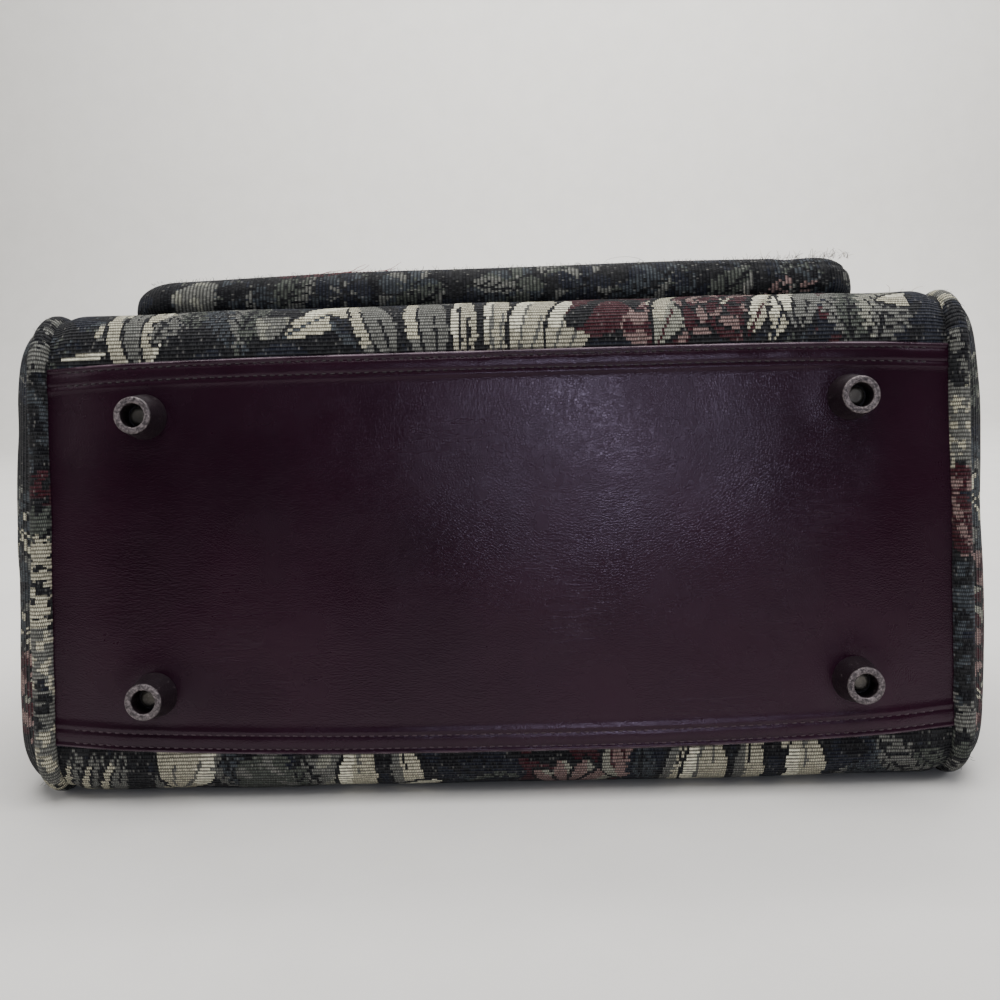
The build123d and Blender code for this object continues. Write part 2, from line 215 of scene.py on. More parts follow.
class Graph:
    """Builds one material's nodes."""

    def __init__(self, name):
        self.material = bpy.data.materials.new(name)
        self.material.use_nodes = True
        self.nodes = self.material.node_tree.nodes
        self.links = self.material.node_tree.links
        self.shader = self.nodes["Principled BSDF"]

    def set(self, socket, value):
        if isinstance(value, bpy.types.NodeSocket):
            self.links.new(value, socket)
        elif hasattr(socket.default_value, "__len__") and not hasattr(value, "__len__"):
            socket.default_value = [value] * len(socket.default_value)
        elif hasattr(value, "__len__") and len(value) == 3 and len(socket.default_value) == 4:
            socket.default_value = (*value, 1)
        else:
            socket.default_value = value

    def add(self, kind, out=0, inputs=None, **settings):
        node = self.nodes.new("ShaderNode" + kind)
        for key, value in settings.items():
            setattr(node, key, value)
        for key, value in (inputs or {}).items():
            self.set(node.inputs[key], value)
        return node.outputs[out]

    def math(self, operation, a, b=0.0):
        return self.add("Math", inputs={0: a, 1: b, 2: 0.0}, operation=operation, use_clamp=False)

    def times(self, a, b):
        return self.math("MULTIPLY", a, b)

    def plus(self, a, b):
        return self.math("ADD", a, b)

    def split(self, vector):
        node = self.nodes.new("ShaderNodeSeparateXYZ")
        self.set(node.inputs[0], vector)
        return node.outputs

    def mix(self, factor, a, b, blend="MIX"):
        node = self.nodes.new("ShaderNodeMix")
        node.data_type = "RGBA"
        node.blend_type = blend
        self.set(node.inputs[0], factor)
        self.set(node.inputs[6], a)
        self.set(node.inputs[7], b)
        return node.outputs[2]

    def range(self, value, low, high, to_low=0.0, to_high=1.0):
        return self.add("MapRange", inputs={0: value, 1: low, 2: high, 3: to_low, 4: to_high})

    def noise(self, vector, scale, detail=2.0, rough=0.5):
        inputs = {"Vector": vector, "Scale": scale, "Detail": detail, "Roughness": rough}
        return self.add("TexNoise", inputs=inputs)

    def white(self, vector, out=0):
        return self.add("TexWhiteNoise", out, {"Vector": vector}, noise_dimensions="3D")

    def vector(self, x, y, z=0.0):
        return self.add("CombineXYZ", inputs={0: x, 1: y, 2: z})

    def bump(self, height, distance, strength=1.0, normal=None):
        inputs = {"Height": height, "Distance": distance, "Strength": strength}
        if normal is not None:
            inputs["Normal"] = normal
        return self.add("Bump", inputs=inputs)

    def finish(self, **inputs):
        for key, value in inputs.items():
            self.set(self.shader.inputs[key.replace("_", " ")], value)
        return self.material


def tapestry():
    """Ribbed jacquard: each face of the mesh is one short float of yarn on one rib."""
    g = Graph("tapestry")
    cloth = g.add("Attribute", 1, attribute_name="cloth")
    yarn = g.add("Attribute", 2, attribute_name="yarn")
    along, across, _ = g.split(cloth)
    wander = g.noise(cloth, 260.0, 2.0)
    wander = g.range(wander, 0, 1, -0.16, 0.16)
    rib = g.plus(g.math("DIVIDE", across, RIB), wander)
    rib_number = g.math("FLOOR", rib)
    rib_part = g.math("FRACT", rib)
    crest = g.math("SINE", g.times(rib_part, math.pi))
    odd = g.times(g.math("MODULO", g.math("ABSOLUTE", rib_number), 2.0), 0.5)
    pick = g.plus(g.math("DIVIDE", along, PICK), odd)
    pick_number = g.math("FLOOR", pick)
    tick = g.math("SINE", g.times(g.math("FRACT", pick), math.pi))
    cell = g.vector(pick_number, rib_number)
    chance = g.white(cell)
    chance_colour = g.white(cell, 1)
    rib_chance = g.white(g.vector(rib_number, 3.0))

    ramp = g.nodes.new("ShaderNodeValToRGB")
    ramp.color_ramp.interpolation = "CONSTANT"
    elements = ramp.color_ramp.elements
    while len(elements) < len(YARN_COLOURS):
        elements.new(0.5)
    for k, colour in enumerate(YARN_COLOURS):
        elements[k].position = k / len(YARN_COLOURS)
        elements[k].color = (*colour, 1)
    g.set(ramp.inputs[0], g.math("DIVIDE", g.plus(yarn, 0.5), float(len(YARN_COLOURS))))
    colour = ramp.outputs[0]

    # Loose dye and light: broad fading, uneven floats, and the dark warp between ribs and floats.
    fading = g.range(g.noise(cloth, 22.0, 3.0), 0.3, 0.75, 0.74, 1.18)
    uneven = g.range(chance, 0, 1, 0.62, 1.22)
    shade = g.times(fading, uneven)
    colour = g.mix(1.0, colour, g.vector(shade, shade, shade), "MULTIPLY")
    warp = g.mix(g.math("GREATER_THAN", rib_chance, 0.55), (0.004, 0.004, 0.006), (0.012, 0.012, 0.013))
    ticked = g.times(g.range(tick, 0.45, 0.8), 0.42)
    groove = g.range(crest, 0.64, 0.90, 1.0, 0.0)
    groove = g.times(groove, g.math("SUBTRACT", 1.0, ticked))
    gap = g.times(g.range(tick, 0.2, 0.85, 1.0, 0.0), 0.85)
    gap = g.times(gap, g.math("LESS_THAN", yarn, BRIGHT - 0.5))
    covered = g.math("MAXIMUM", groove, gap)
    colour = g.mix(covered, colour, warp)
    dots = g.times(g.math("GREATER_THAN", chance, 0.5), g.times(tick, 0.22))
    colour = g.mix(g.times(dots, crest), colour, (0.085, 0.088, 0.090))
    speck = g.math("GREATER_THAN", chance, 0.965)
    speck = g.times(speck, g.times(crest, 0.35))
    colour = g.mix(speck, colour, g.mix(chance_colour, (0.10, 0.10, 0.10), (0.30, 0.29, 0.26)))
    lint = g.math("GREATER_THAN", g.noise(cloth, 900.0, 3.0, 0.7), 0.665)
    colour = g.mix(g.times(lint, 0.10), colour, (0.20, 0.19, 0.18))

    height = g.plus(g.times(crest, 0.7), g.times(g.times(tick, crest), 0.35))
    height = g.plus(height, g.times(g.noise(cloth, 2400.0, 2.0), 0.25))
    normal = g.bump(height, 0.55 * MM, 0.9)
    return g.finish(Base_Color=colour, Roughness=0.82, Normal=normal, Sheen_Weight=0.03,
                    Sheen_Roughness=0.5, Specular_IOR_Level=0.12)


def leather(name, deep, light, gloss, grain=1.0, folds=False):
    """Fine-grained leather with faint creases; deep and light are the colours it varies between.

    gloss is its middle roughness; folds paints a highlight along the base leather's folded edge, in patches
    like rubbed wear.
    """
    g = Graph(name)
    where = g.add("TexCoord", 3)
    patches = g.noise(where, 9.0, 4.0, 0.6)
    colour = g.mix(g.range(patches, 0.35, 0.7), deep, light)
    pores = g.add("TexVoronoi", 0, {"Vector": where, "Scale": 900.0 / grain, "Randomness": 1.0},
                  feature="DISTANCE_TO_EDGE")
    pores = g.range(pores, 0.0, 0.28)
    fine = g.noise(where, 2600.0, 3.0, 0.6)
    stretched = {"Vector": where, "Rotation": (0.0, 0.35, 0.0), "Scale": (5.0, 1.0, 34.0)}
    stretched = g.add("Mapping", inputs=stretched)
    creases = g.noise(stretched, 3.4, 4.0, 0.62)
    creases = g.range(g.math("ABSOLUTE", g.math("SUBTRACT", creases, 0.5)), 0.0, 0.035, 1.0, 0.0)
    few = g.range(g.noise(where, 13.0, 1.0), 0.60, 0.72)
    creases = g.times(creases, few)
    height = g.plus(g.times(pores, 0.35), g.times(fine, 0.2))
    height = g.math("SUBTRACT", height, g.times(creases, 0.4))
    slow = g.noise(where, 55.0, 3.0, 0.55)
    normal = g.bump(slow, 1.1 * MM, 0.18)
    normal = g.bump(height, 0.16 * MM, 0.48, normal)
    colour = g.mix(g.times(creases, 0.15), colour, (0.03, 0.02, 0.03))
    if folds:
        # Painted highlight: the folded edge is paler, in patches like rubbed wear.
        inwards = g.add("Attribute", 2, attribute_name="inwards")
        fold = g.range(inwards, 0.4 * MM, 1.5 * MM, 1.0, 0.0)
        fold_highlight = g.times(fold, g.range(g.noise(where, 45.0, 4.0, 0.7), 0.40, 0.60))
        colour = g.mix(g.times(fold_highlight, 0.8), colour, (0.12, 0.085, 0.105))
    rough = g.range(g.noise(where, 28.0, 4.0, 0.6), 0.3, 0.7, gloss - 0.04, gloss + 0.07)
    return g.finish(Base_Color=colour, Roughness=rough, Normal=normal, Specular_IOR_Level=0.30,
                    Specular_Tint=(1.0, 0.84, 1.0, 1.0))


def worn_metal(name, colour, worn, rough, metallic, scale):
    """Dull metal, dirty in patches and brighter along its edges."""
    g = Graph(name)
    where = g.add("TexCoord", 3)
    stains = g.noise(where, scale, 5.0, 0.65)
    edge = g.add("NewGeometry", 7)
    wear = g.math("MAXIMUM", g.range(edge, 0.52, 0.60), g.range(stains, 0.56, 0.66, 0.0, 0.55))
    tint = g.mix(wear, colour, worn)
    dirt = g.range(g.noise(where, scale * 0.4, 3.0), 0.35, 0.7, 0.55, 1.0)
    tint = g.mix(1.0, tint, g.vector(dirt, dirt, dirt), "MULTIPLY")
    normal = g.bump(stains, 0.10 * MM, 0.6)
    return g.finish(Base_Color=tint, Metallic=metallic, Normal=normal,
                    Roughness=g.range(stains, 0.3, 0.7, rough - 0.08, rough + 0.18))


def foot_finish():
    """Plum-black lacquer, scuffed to bare metal on the tip that the bag stands on."""
    g = Graph("foot_metal")
    where = g.add("TexCoord", 3)
    below = g.add("VectorMath", 1, {0: where, 1: tuple(-UP)}, operation="DOT_PRODUCT")
    tip = float(-UP @ MIDDLE) + 17.5 * MM
    worn = g.range(below, tip - 1.1 * MM, tip - 0.1 * MM)
    scuffs = g.noise(where, 900.0, 5.0, 0.7)
    chips = g.range(scuffs, 0.40, 0.60)
    worn = g.times(worn, g.range(chips, 0, 1, 0.35, 1.0))
    stray_chips = g.times(g.range(g.noise(where, 500.0, 4.0, 0.7), 0.62, 0.66), 0.5)
    worn = g.math("MAXIMUM", worn, stray_chips)
    metal = g.mix(g.range(scuffs, 0.35, 0.65), (0.034, 0.028, 0.031), (0.24, 0.205, 0.21))
    colour = g.mix(worn, (0.0075, 0.0032, 0.0058), metal)
    normal = g.bump(scuffs, 0.25 * MM, 0.8)
    return g.finish(Base_Color=colour, Metallic=g.times(worn, 0.5), Normal=normal,
                    Roughness=g.range(scuffs, 0.3, 0.7, 0.32, 0.55), Specular_IOR_Level=0.4)


def thread(name, colour):
    """Twisted thread, a little lighter along its twist."""
    g = Graph(name)
    where = g.add("TexCoord", 3)
    twist = g.add("TexWave", 1, {"Vector": where, "Scale": 900.0, "Distortion": 1.0})
    tint = g.mix(g.range(twist, 0, 1, 0.0, 0.6), colour, [c * 1.8 + 0.004 for c in colour])
    return g.finish(Base_Color=tint, Roughness=0.75, Normal=g.bump(twist, 0.1 * MM, 0.6), Sheen_Weight=0.15)


def plain_weave(name, colour, pitch):
    """Fine plain weave for tapes and the lining, from the object's own coordinates."""
    g = Graph(name)
    where = g.add("TexCoord", 3)
    x, _, z = g.split(where)
    one = g.math("SINE", g.times(x, 2 * math.pi / pitch))
    two = g.math("SINE", g.times(z, 2 * math.pi / pitch))
    weave = g.times(one, two)
    tint = g.mix(g.range(weave, -1, 1), [c * 0.6 for c in colour], [c * 1.4 for c in colour])
    uneven = g.noise(where, 70.0, 3.0)
    tint = g.mix(g.range(uneven, 0.3, 0.7, 0, 0.4), tint, [c * 0.7 for c in colour])
    return g.finish(Base_Color=tint, Roughness=0.8, Normal=g.bump(weave, 0.2 * MM, 0.7), Sheen_Weight=0.1)


def floor_material():
    """Pale paper with a faint tooth."""
    g = Graph("studio_floor")
    where = g.add("TexCoord", 3)
    patches = g.range(g.noise(where, 18.0, 5.0, 0.6), 0.3, 0.7)
    tint = g.mix(patches, (0.665, 0.652, 0.630), (0.70, 0.687, 0.665))
    normal = g.bump(g.noise(where, 420.0, 4.0, 0.7), 0.25 * MM, 0.35)
    return g.finish(Base_Color=tint, Roughness=0.85, Normal=normal, Specular_IOR_Level=0.2)


TAPESTRY = tapestry()
BASE_LEATHER = leather("base_leather", (0.0085, 0.0013, 0.0050), (0.0155, 0.0025, 0.0088), 0.23, folds=True)
TRIM_LEATHER = leather("trim_leather", (0.0090, 0.0016, 0.0054), (0.0170, 0.0032, 0.0098), 0.40, grain=0.8)
FOOT_METAL = foot_finish()
RIVET_METAL = worn_metal("rivet_metal", (0.16, 0.145, 0.125), (0.38, 0.35, 0.31), 0.36, 0.75, 600.0)
BRASS = worn_metal("old_brass", (0.23, 0.155, 0.070), (0.52, 0.40, 0.22), 0.34, 1.0, 350.0)
STITCH = thread("dark_thread", (0.0060, 0.0020, 0.0038))
STITCH_RUBBED = thread("rubbed_thread", (0.026, 0.011, 0.018))
STRAY_DARK = thread("stray_dark", (0.020, 0.021, 0.026))
STRAY_PALE = thread("stray_pale", (0.34, 0.30, 0.24))
STRAY_RED = thread("stray_red", (0.17, 0.020, 0.026))
TAPE_CLOTH = plain_weave("zip_tape_cloth", (0.016, 0.013, 0.015), 0.9 * MM)
LINING_CLOTH = plain_weave("lining_cloth", (0.060, 0.040, 0.036), 0.7 * MM)
BOARD = worn_metal("fibreboard", (0.17, 0.11, 0.065), (0.24, 0.17, 0.11), 0.8, 0.0, 120.0)


# ---------------------------------------------------------------- the woven pattern


class Weave:
    """The yarn of every cell of one piece of cloth. Places and sizes are in millimetres on the cloth."""

    def __init__(self, a, b, seed):
        self.a, self.b = a / MM, b / MM
        self.made = np.random.default_rng(seed)
        tone = waves(seed + 1, self.a, self.b, 16.0, 7)
        self.yarn = np.where(tone > 0.15, NAVY, INK)

    def near(self, x, y, angle, reach):
        """Cells round a place, and how far along and across a direction from there each one is."""
        rows, columns = np.nonzero((abs(self.a - x) < reach) & (abs(self.b - y) < reach))
        da, db = self.a[rows, columns] - x, self.b[rows, columns] - y
        c, s = math.cos(math.radians(angle)), math.sin(math.radians(angle))
        return (rows, columns), da * c + db * s, db * c - da * s

    def put(self, cells, where, yarn):
        """Give one yarn to those of the cells where the condition holds."""
        self.yarn[cells[0][where], cells[1][where]] = yarn

    def petal(self, x, y, angle, length, width, body=CREAM, rim=BRIGHT, vein=INK, veins=2, curl=0.0,
              belly=1.35):
        cells, p, q = self.near(x, y, angle, length * 1.25 + width)
        t = np.clip(p / length, 0.001, 0.999)
        q = q - curl * width * t * t
        half = width / 2 * np.sin(math.pi * t ** belly) ** 0.62
        inside = (p > 0) & (p < length) & (abs(q) < half)
        self.put(cells, (p > -1.6) & (p < length + 1.6) & (abs(q) < half + 1.7), INK)
        self.put(cells, inside, body)
        self.put(cells, inside & (q > half * 0.30) & (t > 0.28), rim)
        for k in range(veins):
            line = (k + 0.5) / veins * 2 - 1
            reach = 0.5 + 0.18 * ((k * 7) % 3)
            self.put(cells, inside & (abs(q - line * half * 0.75) < 0.62) & (t < reach), vein)

    def leaf(self, x, y, angle, length, width, body=SLATE, rim=GREY, vein=INK, curl=0.15):
        cells, p, q = self.near(x, y, angle, length * 1.2 + width)
        t = np.clip(p / length, 0.001, 0.999)
        q = q - curl * width * np.sin(math.pi * t)
        half = width / 2 * np.sin(math.pi * t ** 0.85) ** 0.9 * (1 + 0.16 * np.sin(p * 1.5))
        inside = (p > 0) & (p < length) & (abs(q) < half)
        self.put(cells, inside, body)
        self.put(cells, inside & (q > half * 0.45), rim)
        self.put(cells, inside & (np.mod(p - abs(q) * 0.9, 5.2) < 1.2) & (abs(q) < half * 0.8), vein)
        self.put(cells, inside & (abs(q) < 0.7), vein)

    def fan(self, x, y, angle, length, spread, count, width):
        """Petals spread from one place, the outer ones beneath."""
        for k in sorted(range(count), key=lambda k: -abs(k - (count - 1) / 2)):
            turn = (k - (count - 1) / 2) / max(count - 1, 1) * spread
            reach = length * (1 - 0.13 * abs(turn) / 60 + 0.06 * self.made.uniform(-1, 1))
            self.petal(x, y, angle + turn, reach, width, curl=0.12 * math.copysign(1, turn))

    def bloom(self, x, y, size, deep=WINE, light=ROSE, edge=PALE, turn=0.0):
        """A full flower: rings of petals, dark between, lighter at their tips."""
        for ring, (reach, count) in enumerate(((1.0, 7), (0.74, 6), (0.46, 5))):
            for k in range(count):
                angle = turn + 360 * (k + 0.5 * ring) / count + self.made.uniform(-8, 8)
                body, rim = ((deep, light), (light, deep), (deep, edge))[ring]
                tip = size * reach * self.made.uniform(0.92, 1.08)
                self.petal(x, y, angle, tip, size * reach * 0.78, body=body, rim=rim, vein=INK, veins=1)
        cells, p, q = self.near(x, y, 0, size * 0.3)
        self.put(cells, (np.hypot(p, q) < size * 0.13) & (np.mod(p + q, 3.0) < 1.4), CREAM)

    def block(self, x, y, width, height, yarn, second, size=5.0, lean=0.0):
        """An uneven patch of two yarns with soft, stepped edges."""
        cells, p, q = self.near(x, y, 0, max(width, height))
        p = p - lean * q
        wobble = waves(int(abs(x * 7 + y)) + 5, p, q, size, 5)
        inside = (abs(p) / (width / 2)) ** 3 + (abs(q) / (height / 2)) ** 3 < 1 + 0.5 * wobble
        self.put(cells, inside, yarn)
        self.put(cells, inside & (wobble > 0.25), second)

    def sprigs(self, count, kinds=DARK_SPRIGS, scale=1.0):
        """Leaves strewn over the whole piece."""
        low_a, high_a = self.a.min(), self.a.max()
        low_b, high_b = self.b.min(), self.b.max()
        for _ in range(count):
            x, y = self.made.uniform(low_a, high_a), self.made.uniform(low_b, high_b)
            angle = self.made.uniform(0, 360)
            body, rim = kinds[int(self.made.integers(len(kinds)))]
            length = self.made.uniform(9, 21) * scale
            self.leaf(x, y, angle, length, length * self.made.uniform(0.38, 0.6), body, rim)

    def garden(self, spacing, keep=lambda x, y: True):
        """Flowers, fans and sprays over the whole piece, on a shaken grid."""
        low_a, low_b = self.a.min(), self.b.min()
        rows = int((self.b.max() - low_b) / spacing) + 2
        columns = int((self.a.max() - low_a) / spacing) + 2
        for r in range(rows):
            for c in range(columns):
                x = low_a + (c + 0.5 * (r % 2)) * spacing + self.made.uniform(-0.2, 0.2) * spacing
                y = low_b + r * spacing + self.made.uniform(-0.2, 0.2) * spacing
                kind, angle = int(self.made.integers(6)), self.made.uniform(0, 360)
                size = spacing * self.made.uniform(0.42, 0.6)
                if not keep(x, y):
                    continue
                if kind == 0:
                    self.bloom(x, y, size, turn=angle)
                elif kind == 1:
                    self.bloom(x, y, size, SLATE, GREY, CREAM, angle)
                elif kind in (2, 3):
                    self.fan(x, y, angle, size * 1.15, 120, 5, size * 0.42)
                elif kind == 4:
                    for k in range(3):
                        self.leaf(x, y, angle + 38 * (k - 1), size * 1.2, size * 0.5, MOSS, PALE)
                else:
                    self.leaf(x, y, angle, size * 1.5, size * 0.55, GREY, CREAM)
                    self.leaf(x, y, angle + 150, size, size * 0.45, SLATE, GREY)

    def ragged(self, share):
        """The yarns, once a few floats have taken the yarn of the cell beside them."""
        swap = self.made.random(self.yarn.shape) < share
        return np.where(swap, np.roll(self.yarn, 1, 1), self.yarn)


def face_middles(points):
    return (points[:-1, :-1] + points[1:, 1:]) / 2


def woven(name, points, along, across, seed, paint, node, share=0.06, flip=False, closed_along=None):
    """One piece of tapestry. closed_along also holds where a tube's last column meets its first."""
    wide = along if closed_along is None else closed_along
    tall = across if closed_along is None else np.concatenate([across, across[:, :1]], 1)
    cloth = Weave(face_middles(wide), face_middles(tall), seed)
    paint(cloth)
    piece = sheet_object(name, points, TAPESTRY, along, across, cloth.ragged(share),
                         close=closed_along is not None, flip=flip)
    return ride(piece, node, slot="tapestry")


def flowered(sprigs, spacing):
    def paint(cloth):
        cloth.sprigs(sprigs)
        cloth.garden(spacing)
    return paint


# ---------------------------------------------------------------- panels


def paint_front(cloth):
    """The strip beside the leather, and the rest of the front panel behind the pocket."""
    petal, leaf, block, bloom = cloth.petal, cloth.leaf, cloth.block, cloth.bloom
    cloth.sprigs(240)
    cloth.garden(46, lambda x, y: y > 75)
    block(-158, 34, 30, 44, GREY, CREAM, 6.0)
    petal(-165, 56, -84, 50, 13, CREAM, BRIGHT, GREY, 1)
    petal(-154, 56, -90, 46, 14, GREY, CREAM, INK, 2)
    petal(-145, 56, -95, 46, 10, CREAM, BRIGHT, GREY, 1)
    petal(-190, 13, 8, 22, 4, BRIGHT, CREAM, INK, 0)
    leaf(-148, 18, 60, 26, 15, GREY, CREAM)
    leaf(-132, 26, 80, 22, 18, MOSS, GREY)
    leaf(-124, 46, -70, 32, 19, SLATE, GREY)
    leaf(-108, 18, 75, 30, 17, MOSS, GREY)
    block(-96, 26, 14, 12, GREY, PALE, 4.0)
    petal(-91, 20, 32, 46, 19, CREAM, BRIGHT, SLATE, 1)
    leaf(-52, 16, 140, 26, 10, NAVY, SLATE)
    for x, angle, length, width in ((-44, 112, 46, 15), (-26, 98, 48, 17), (-12, 92, 44, 9), (1, 88, 46, 10),
                                    (12, 76, 48, 17), (26, 66, 52, 18)):
        body, rim = (GREY, CREAM) if x < -20 else (CREAM, BRIGHT)
        petal(x, 6, angle, length, width + 2, body, rim, GREY if x > 0 else INK, 2, belly=0.85)
    block(52, 36, 40, 40, WINE, INK, 9.0)
    block(70, 22, 30, 20, ROSE, WINE, 4.5)
    petal(62, 30, 20, 22, 12, ROSE, CREAM, WINE, 1)
    petal(70, 12, 66, 38, 19, PALE, CREAM, WINE, 1)
    bloom(100, 34, 23, WINE, ROSE, ROSE, 20)
    petal(108, 14, 62, 40, 11, CREAM, BRIGHT, WINE, 1)
    petal(118, 12, 66, 42, 13, CREAM, BRIGHT, NAVY, 1)
    petal(130, 16, 80, 34, 18, GREY, BRIGHT, INK, 2)
    block(146, 30, 12, 40, NAVY, WINE, 5.0, 0.2)
    leaf(153, 10, 80, 44, 24, MOSS, GREY)
    leaf(163, 10, 62, 42, 24, GREY, PALE)
    petal(166, 32, 10, 20, 11, CREAM, BRIGHT, INK, 0)
    block(186, 26, 14, 40, NAVY, INK, 6.0)


def paint_back(cloth):
    """The strip beside the leather's lower edge, and the rest of the back panel."""
    petal, leaf, block = cloth.petal, cloth.leaf, cloth.block
    cloth.sprigs(240)
    cloth.garden(46, lambda x, y: y > 70)
    for x, angle in ((-188, 100), (-178, 104), (-168, 108)):
        petal(x + 4, 8, angle, 44, 11, GREY, CREAM, INK, 2)
    petal(-138, 6, 112, 40, 12, CREAM, GREY, INK, 1)
    petal(-146, 40, -68, 40, 27, CREAM, BRIGHT, GREY, 2)
    leaf(-122, 10, 70, 32, 15, SLATE, GREY)
    block(-104, 30, 26, 32, MOSS, GREY, 5.0)
    leaf(-88, 16, 60, 34, 17, GREY, MOSS)
    block(-74, 24, 16, 26, GREY, PALE, 5.0)
    petal(-62, 4, 96, 44, 17, CREAM, BRIGHT, GREY, 1)
    petal(-46, 4, 82, 42, 14, CREAM, GREY, INK, 1)
    petal(-52, 42, -20, 26, 7, BRIGHT, CREAM, INK, 0)
    leaf(-22, 22, 20, 30, 18, NAVY, SLATE)
    leaf(10, 34, 175, 28, 13, NAVY, MOSS)
    block(28, 28, 44, 34, WINE, INK, 9.0)
    for k in range(4):
        petal(30, 46, -90 + 26 * (k - 1.5), 26, 9, ROSE, PALE, WINE, 1)
    petal(48, 8, 84, 26, 15, ROSE, PALE, WINE, 2)
    leaf(60, 14, 86, 28, 13, SLATE, NAVY)
    petal(80, 2, 102, 46, 11, CREAM, GREY, INK, 1)
    petal(88, 2, 92, 50, 20, CREAM, BRIGHT, GREY, 2)
    petal(106, 2, 90, 46, 13, CREAM, GREY, INK, 1)
    petal(118, 8, 60, 26, 8, BRIGHT, CREAM, INK, 0)
    petal(128, 4, 84, 48, 19, CREAM, BRIGHT, GREY, 1)
    block(150, 30, 22, 40, NAVY, INK, 8.0)
    leaf(152, 24, 80, 24, 13, SLATE, GREY)
    leaf(160, 12, 50, 38, 20, GREY, SLATE)
    leaf(176, 18, 40, 24, 15, MOSS, GREY)


def outwards(path):
    """The way out of a flat path that runs with the bag's inside on its left."""
    ahead = directions(path)
    return np.stack([ahead[:, 1], -ahead[:, 0]], 1)


def push_out(path, out, distance):
    """The two coordinates of a path's rows, moved outwards."""
    return [path[:, k][:, None] + out[:, k][:, None] * distance for k in range(2)]


def keep_above(points, clearance):
    points[..., 2] = np.maximum(points[..., 2], clearance)
    return points


def panel(name, facing, paint, seed, swell, node):
    """The front or back: from under the leather's edge, round the base's corner and up to the mouth."""
    corners = ((HEM_START, 0), (BASE_HALF_DEPTH, 0), (WAIST_HALF_DEPTH, WAIST_HEIGHT),
               (MOUTH_HALF_DEPTH, MOUTH_HEIGHT))
    profile, s = rounded(corners, (CORNER_RADIUS, WAIST_RADIUS), RIB)
    grid_s, grid_x = grid(s, PANEL_X)
    leather_seam, corner_middle = 16 * MM, 30 * MM
    from_middle = abs(grid_x / HALF_WIDTH)
    edge = np.clip((abs(grid_x) - 184 * MM) / (8 * MM), 0, 1)
    up_panel = smooth((grid_s - corner_middle) / (70 * MM)) * smooth((s[-1] - grid_s) / (60 * MM))
    bulge = swell * up_panel * (1 - from_middle ** 3.2)
    round_corner = 1.4 * MM * bump_at(grid_s - corner_middle, 14 * MM) * (1 - from_middle ** 8)
    loose = smooth((grid_s - leather_seam) / (14 * MM)) * (1 - edge)
    rumple = 0.45 * MM * waves(seed, grid_x, grid_s * 1.4, 30 * MM) * loose
    pucker = 0.22 * MM * np.sin(grid_x / (5.3 * MM) + 2 * waves(seed + 3, grid_x, grid_s, 40 * MM))
    pucker = pucker * bump_at(grid_s - leather_seam, 7 * MM)
    raised = bulge + round_corner + rumple + pucker - 1.7 * MM * edge ** 2
    depth, height = push_out(profile, outwards(profile), raised)
    points = keep_above(place(grid_x, facing * depth, height), 0.15 * MM)
    return woven(name, points, grid_x, grid_s, seed, paint, node, flip=facing == REAR)


PANEL_X = np.linspace(-HALF_WIDTH, HALF_WIDTH, int(2 * HALF_WIDTH / STEP) + 1)
panel("tapestry_front", FRONT, paint_front, 11, 3.5 * MM, "front_panel")
panel("tapestry_back", REAR, paint_back, 23, 1.0 * MM, "back_panel")


# ---------------------------------------------------------------- piping and end gussets


def half_outline(inset, low):
    """Down one side of an end, from the mouth to the middle of the base."""
    return ((MOUTH_HALF_DEPTH - inset, MOUTH_HEIGHT), (WAIST_HALF_DEPTH - inset, WAIST_HEIGHT),
            (BASE_HALF_DEPTH - inset, low), (0, low))


def piping(name, hand, seed, node):
    """Cloth wrapped round a cord, from the mouth round the base and back to the mouth."""
    half, _ = rounded(half_outline(3.6 * MM, 0.7 * MM), (WAIST_RADIUS, CORNER_RADIUS), STEP)
    flat = np.concatenate([half, half[-2::-1] * (-1, 1)])
    length = lengths(flat)
    sides = 18
    grid_l, grid_t = grid(length, np.linspace(0, 2 * math.pi, sides, endpoint=False))
    lumps = waves(seed, grid_l, grid_t * 4 * MM, 24 * MM) * 0.05
    lumps = lumps + waves(seed + 1, grid_l, grid_t * MM, 9 * MM) * 0.03
    from_mouth = np.minimum(grid_l, length[-1] - grid_l)
    radius = PIPING_RADIUS * (1 + lumps) * np.sqrt(np.clip(from_mouth / (4 * MM), 0.01, 1))
    sway = 0.7 * MM * waves(seed + 2, length, 0, 55 * MM)
    x = hand * (PIPING_X + sway[:, None] + radius * np.cos(grid_t))
    depth, height = push_out(flat, outwards(flat), radius * np.sin(grid_t))
    points = keep_above(place(x, depth, height), 0.1 * MM)
    wide = grid_t * PIPING_RADIUS
    closed = np.concatenate([wide, wide[:, :1] + 2 * math.pi * PIPING_RADIUS], 1)
    return woven(name, points, wide, grid_l, seed, lambda cloth: paint_piping(cloth, length[-1] / MM, hand),
                 node, 0.12, flip=hand > 0, closed_along=closed)


def paint_piping(cloth, length, hand):
    """Short runs of two yarns, with the flowers that the photograph shows by the base's middle."""
    kinds = ((GREY, INK), (INK, NAVY), (INK, SLATE), (GREY, CREAM), (SLATE, INK), (MOSS, INK), (INK, GREY))
    at = 0.0
    while at < length:
        run = cloth.made.uniform(9, 26)
        first, second = kinds[int(cloth.made.integers(len(kinds)))]
        middle = length / 2
        if hand < 0 and cloth.made.random() < 0.4:
            first, second = CREAM, INK
        if hand > 0 and -12 < at - middle < 26:
            first, second = WINE, ROSE
        elif hand > 0 and 26 <= at - middle < 66:
            first, second = GREY, CREAM
        elif hand < 0 and 8 < at - middle < 34:
            first, second = WINE, INK
        for x in (4, 12, 20, 28):
            cloth.block(x, at + run / 2 + cloth.made.uniform(-4, 4), 12, run * 1.15, first, second, 4.0)
        at += run


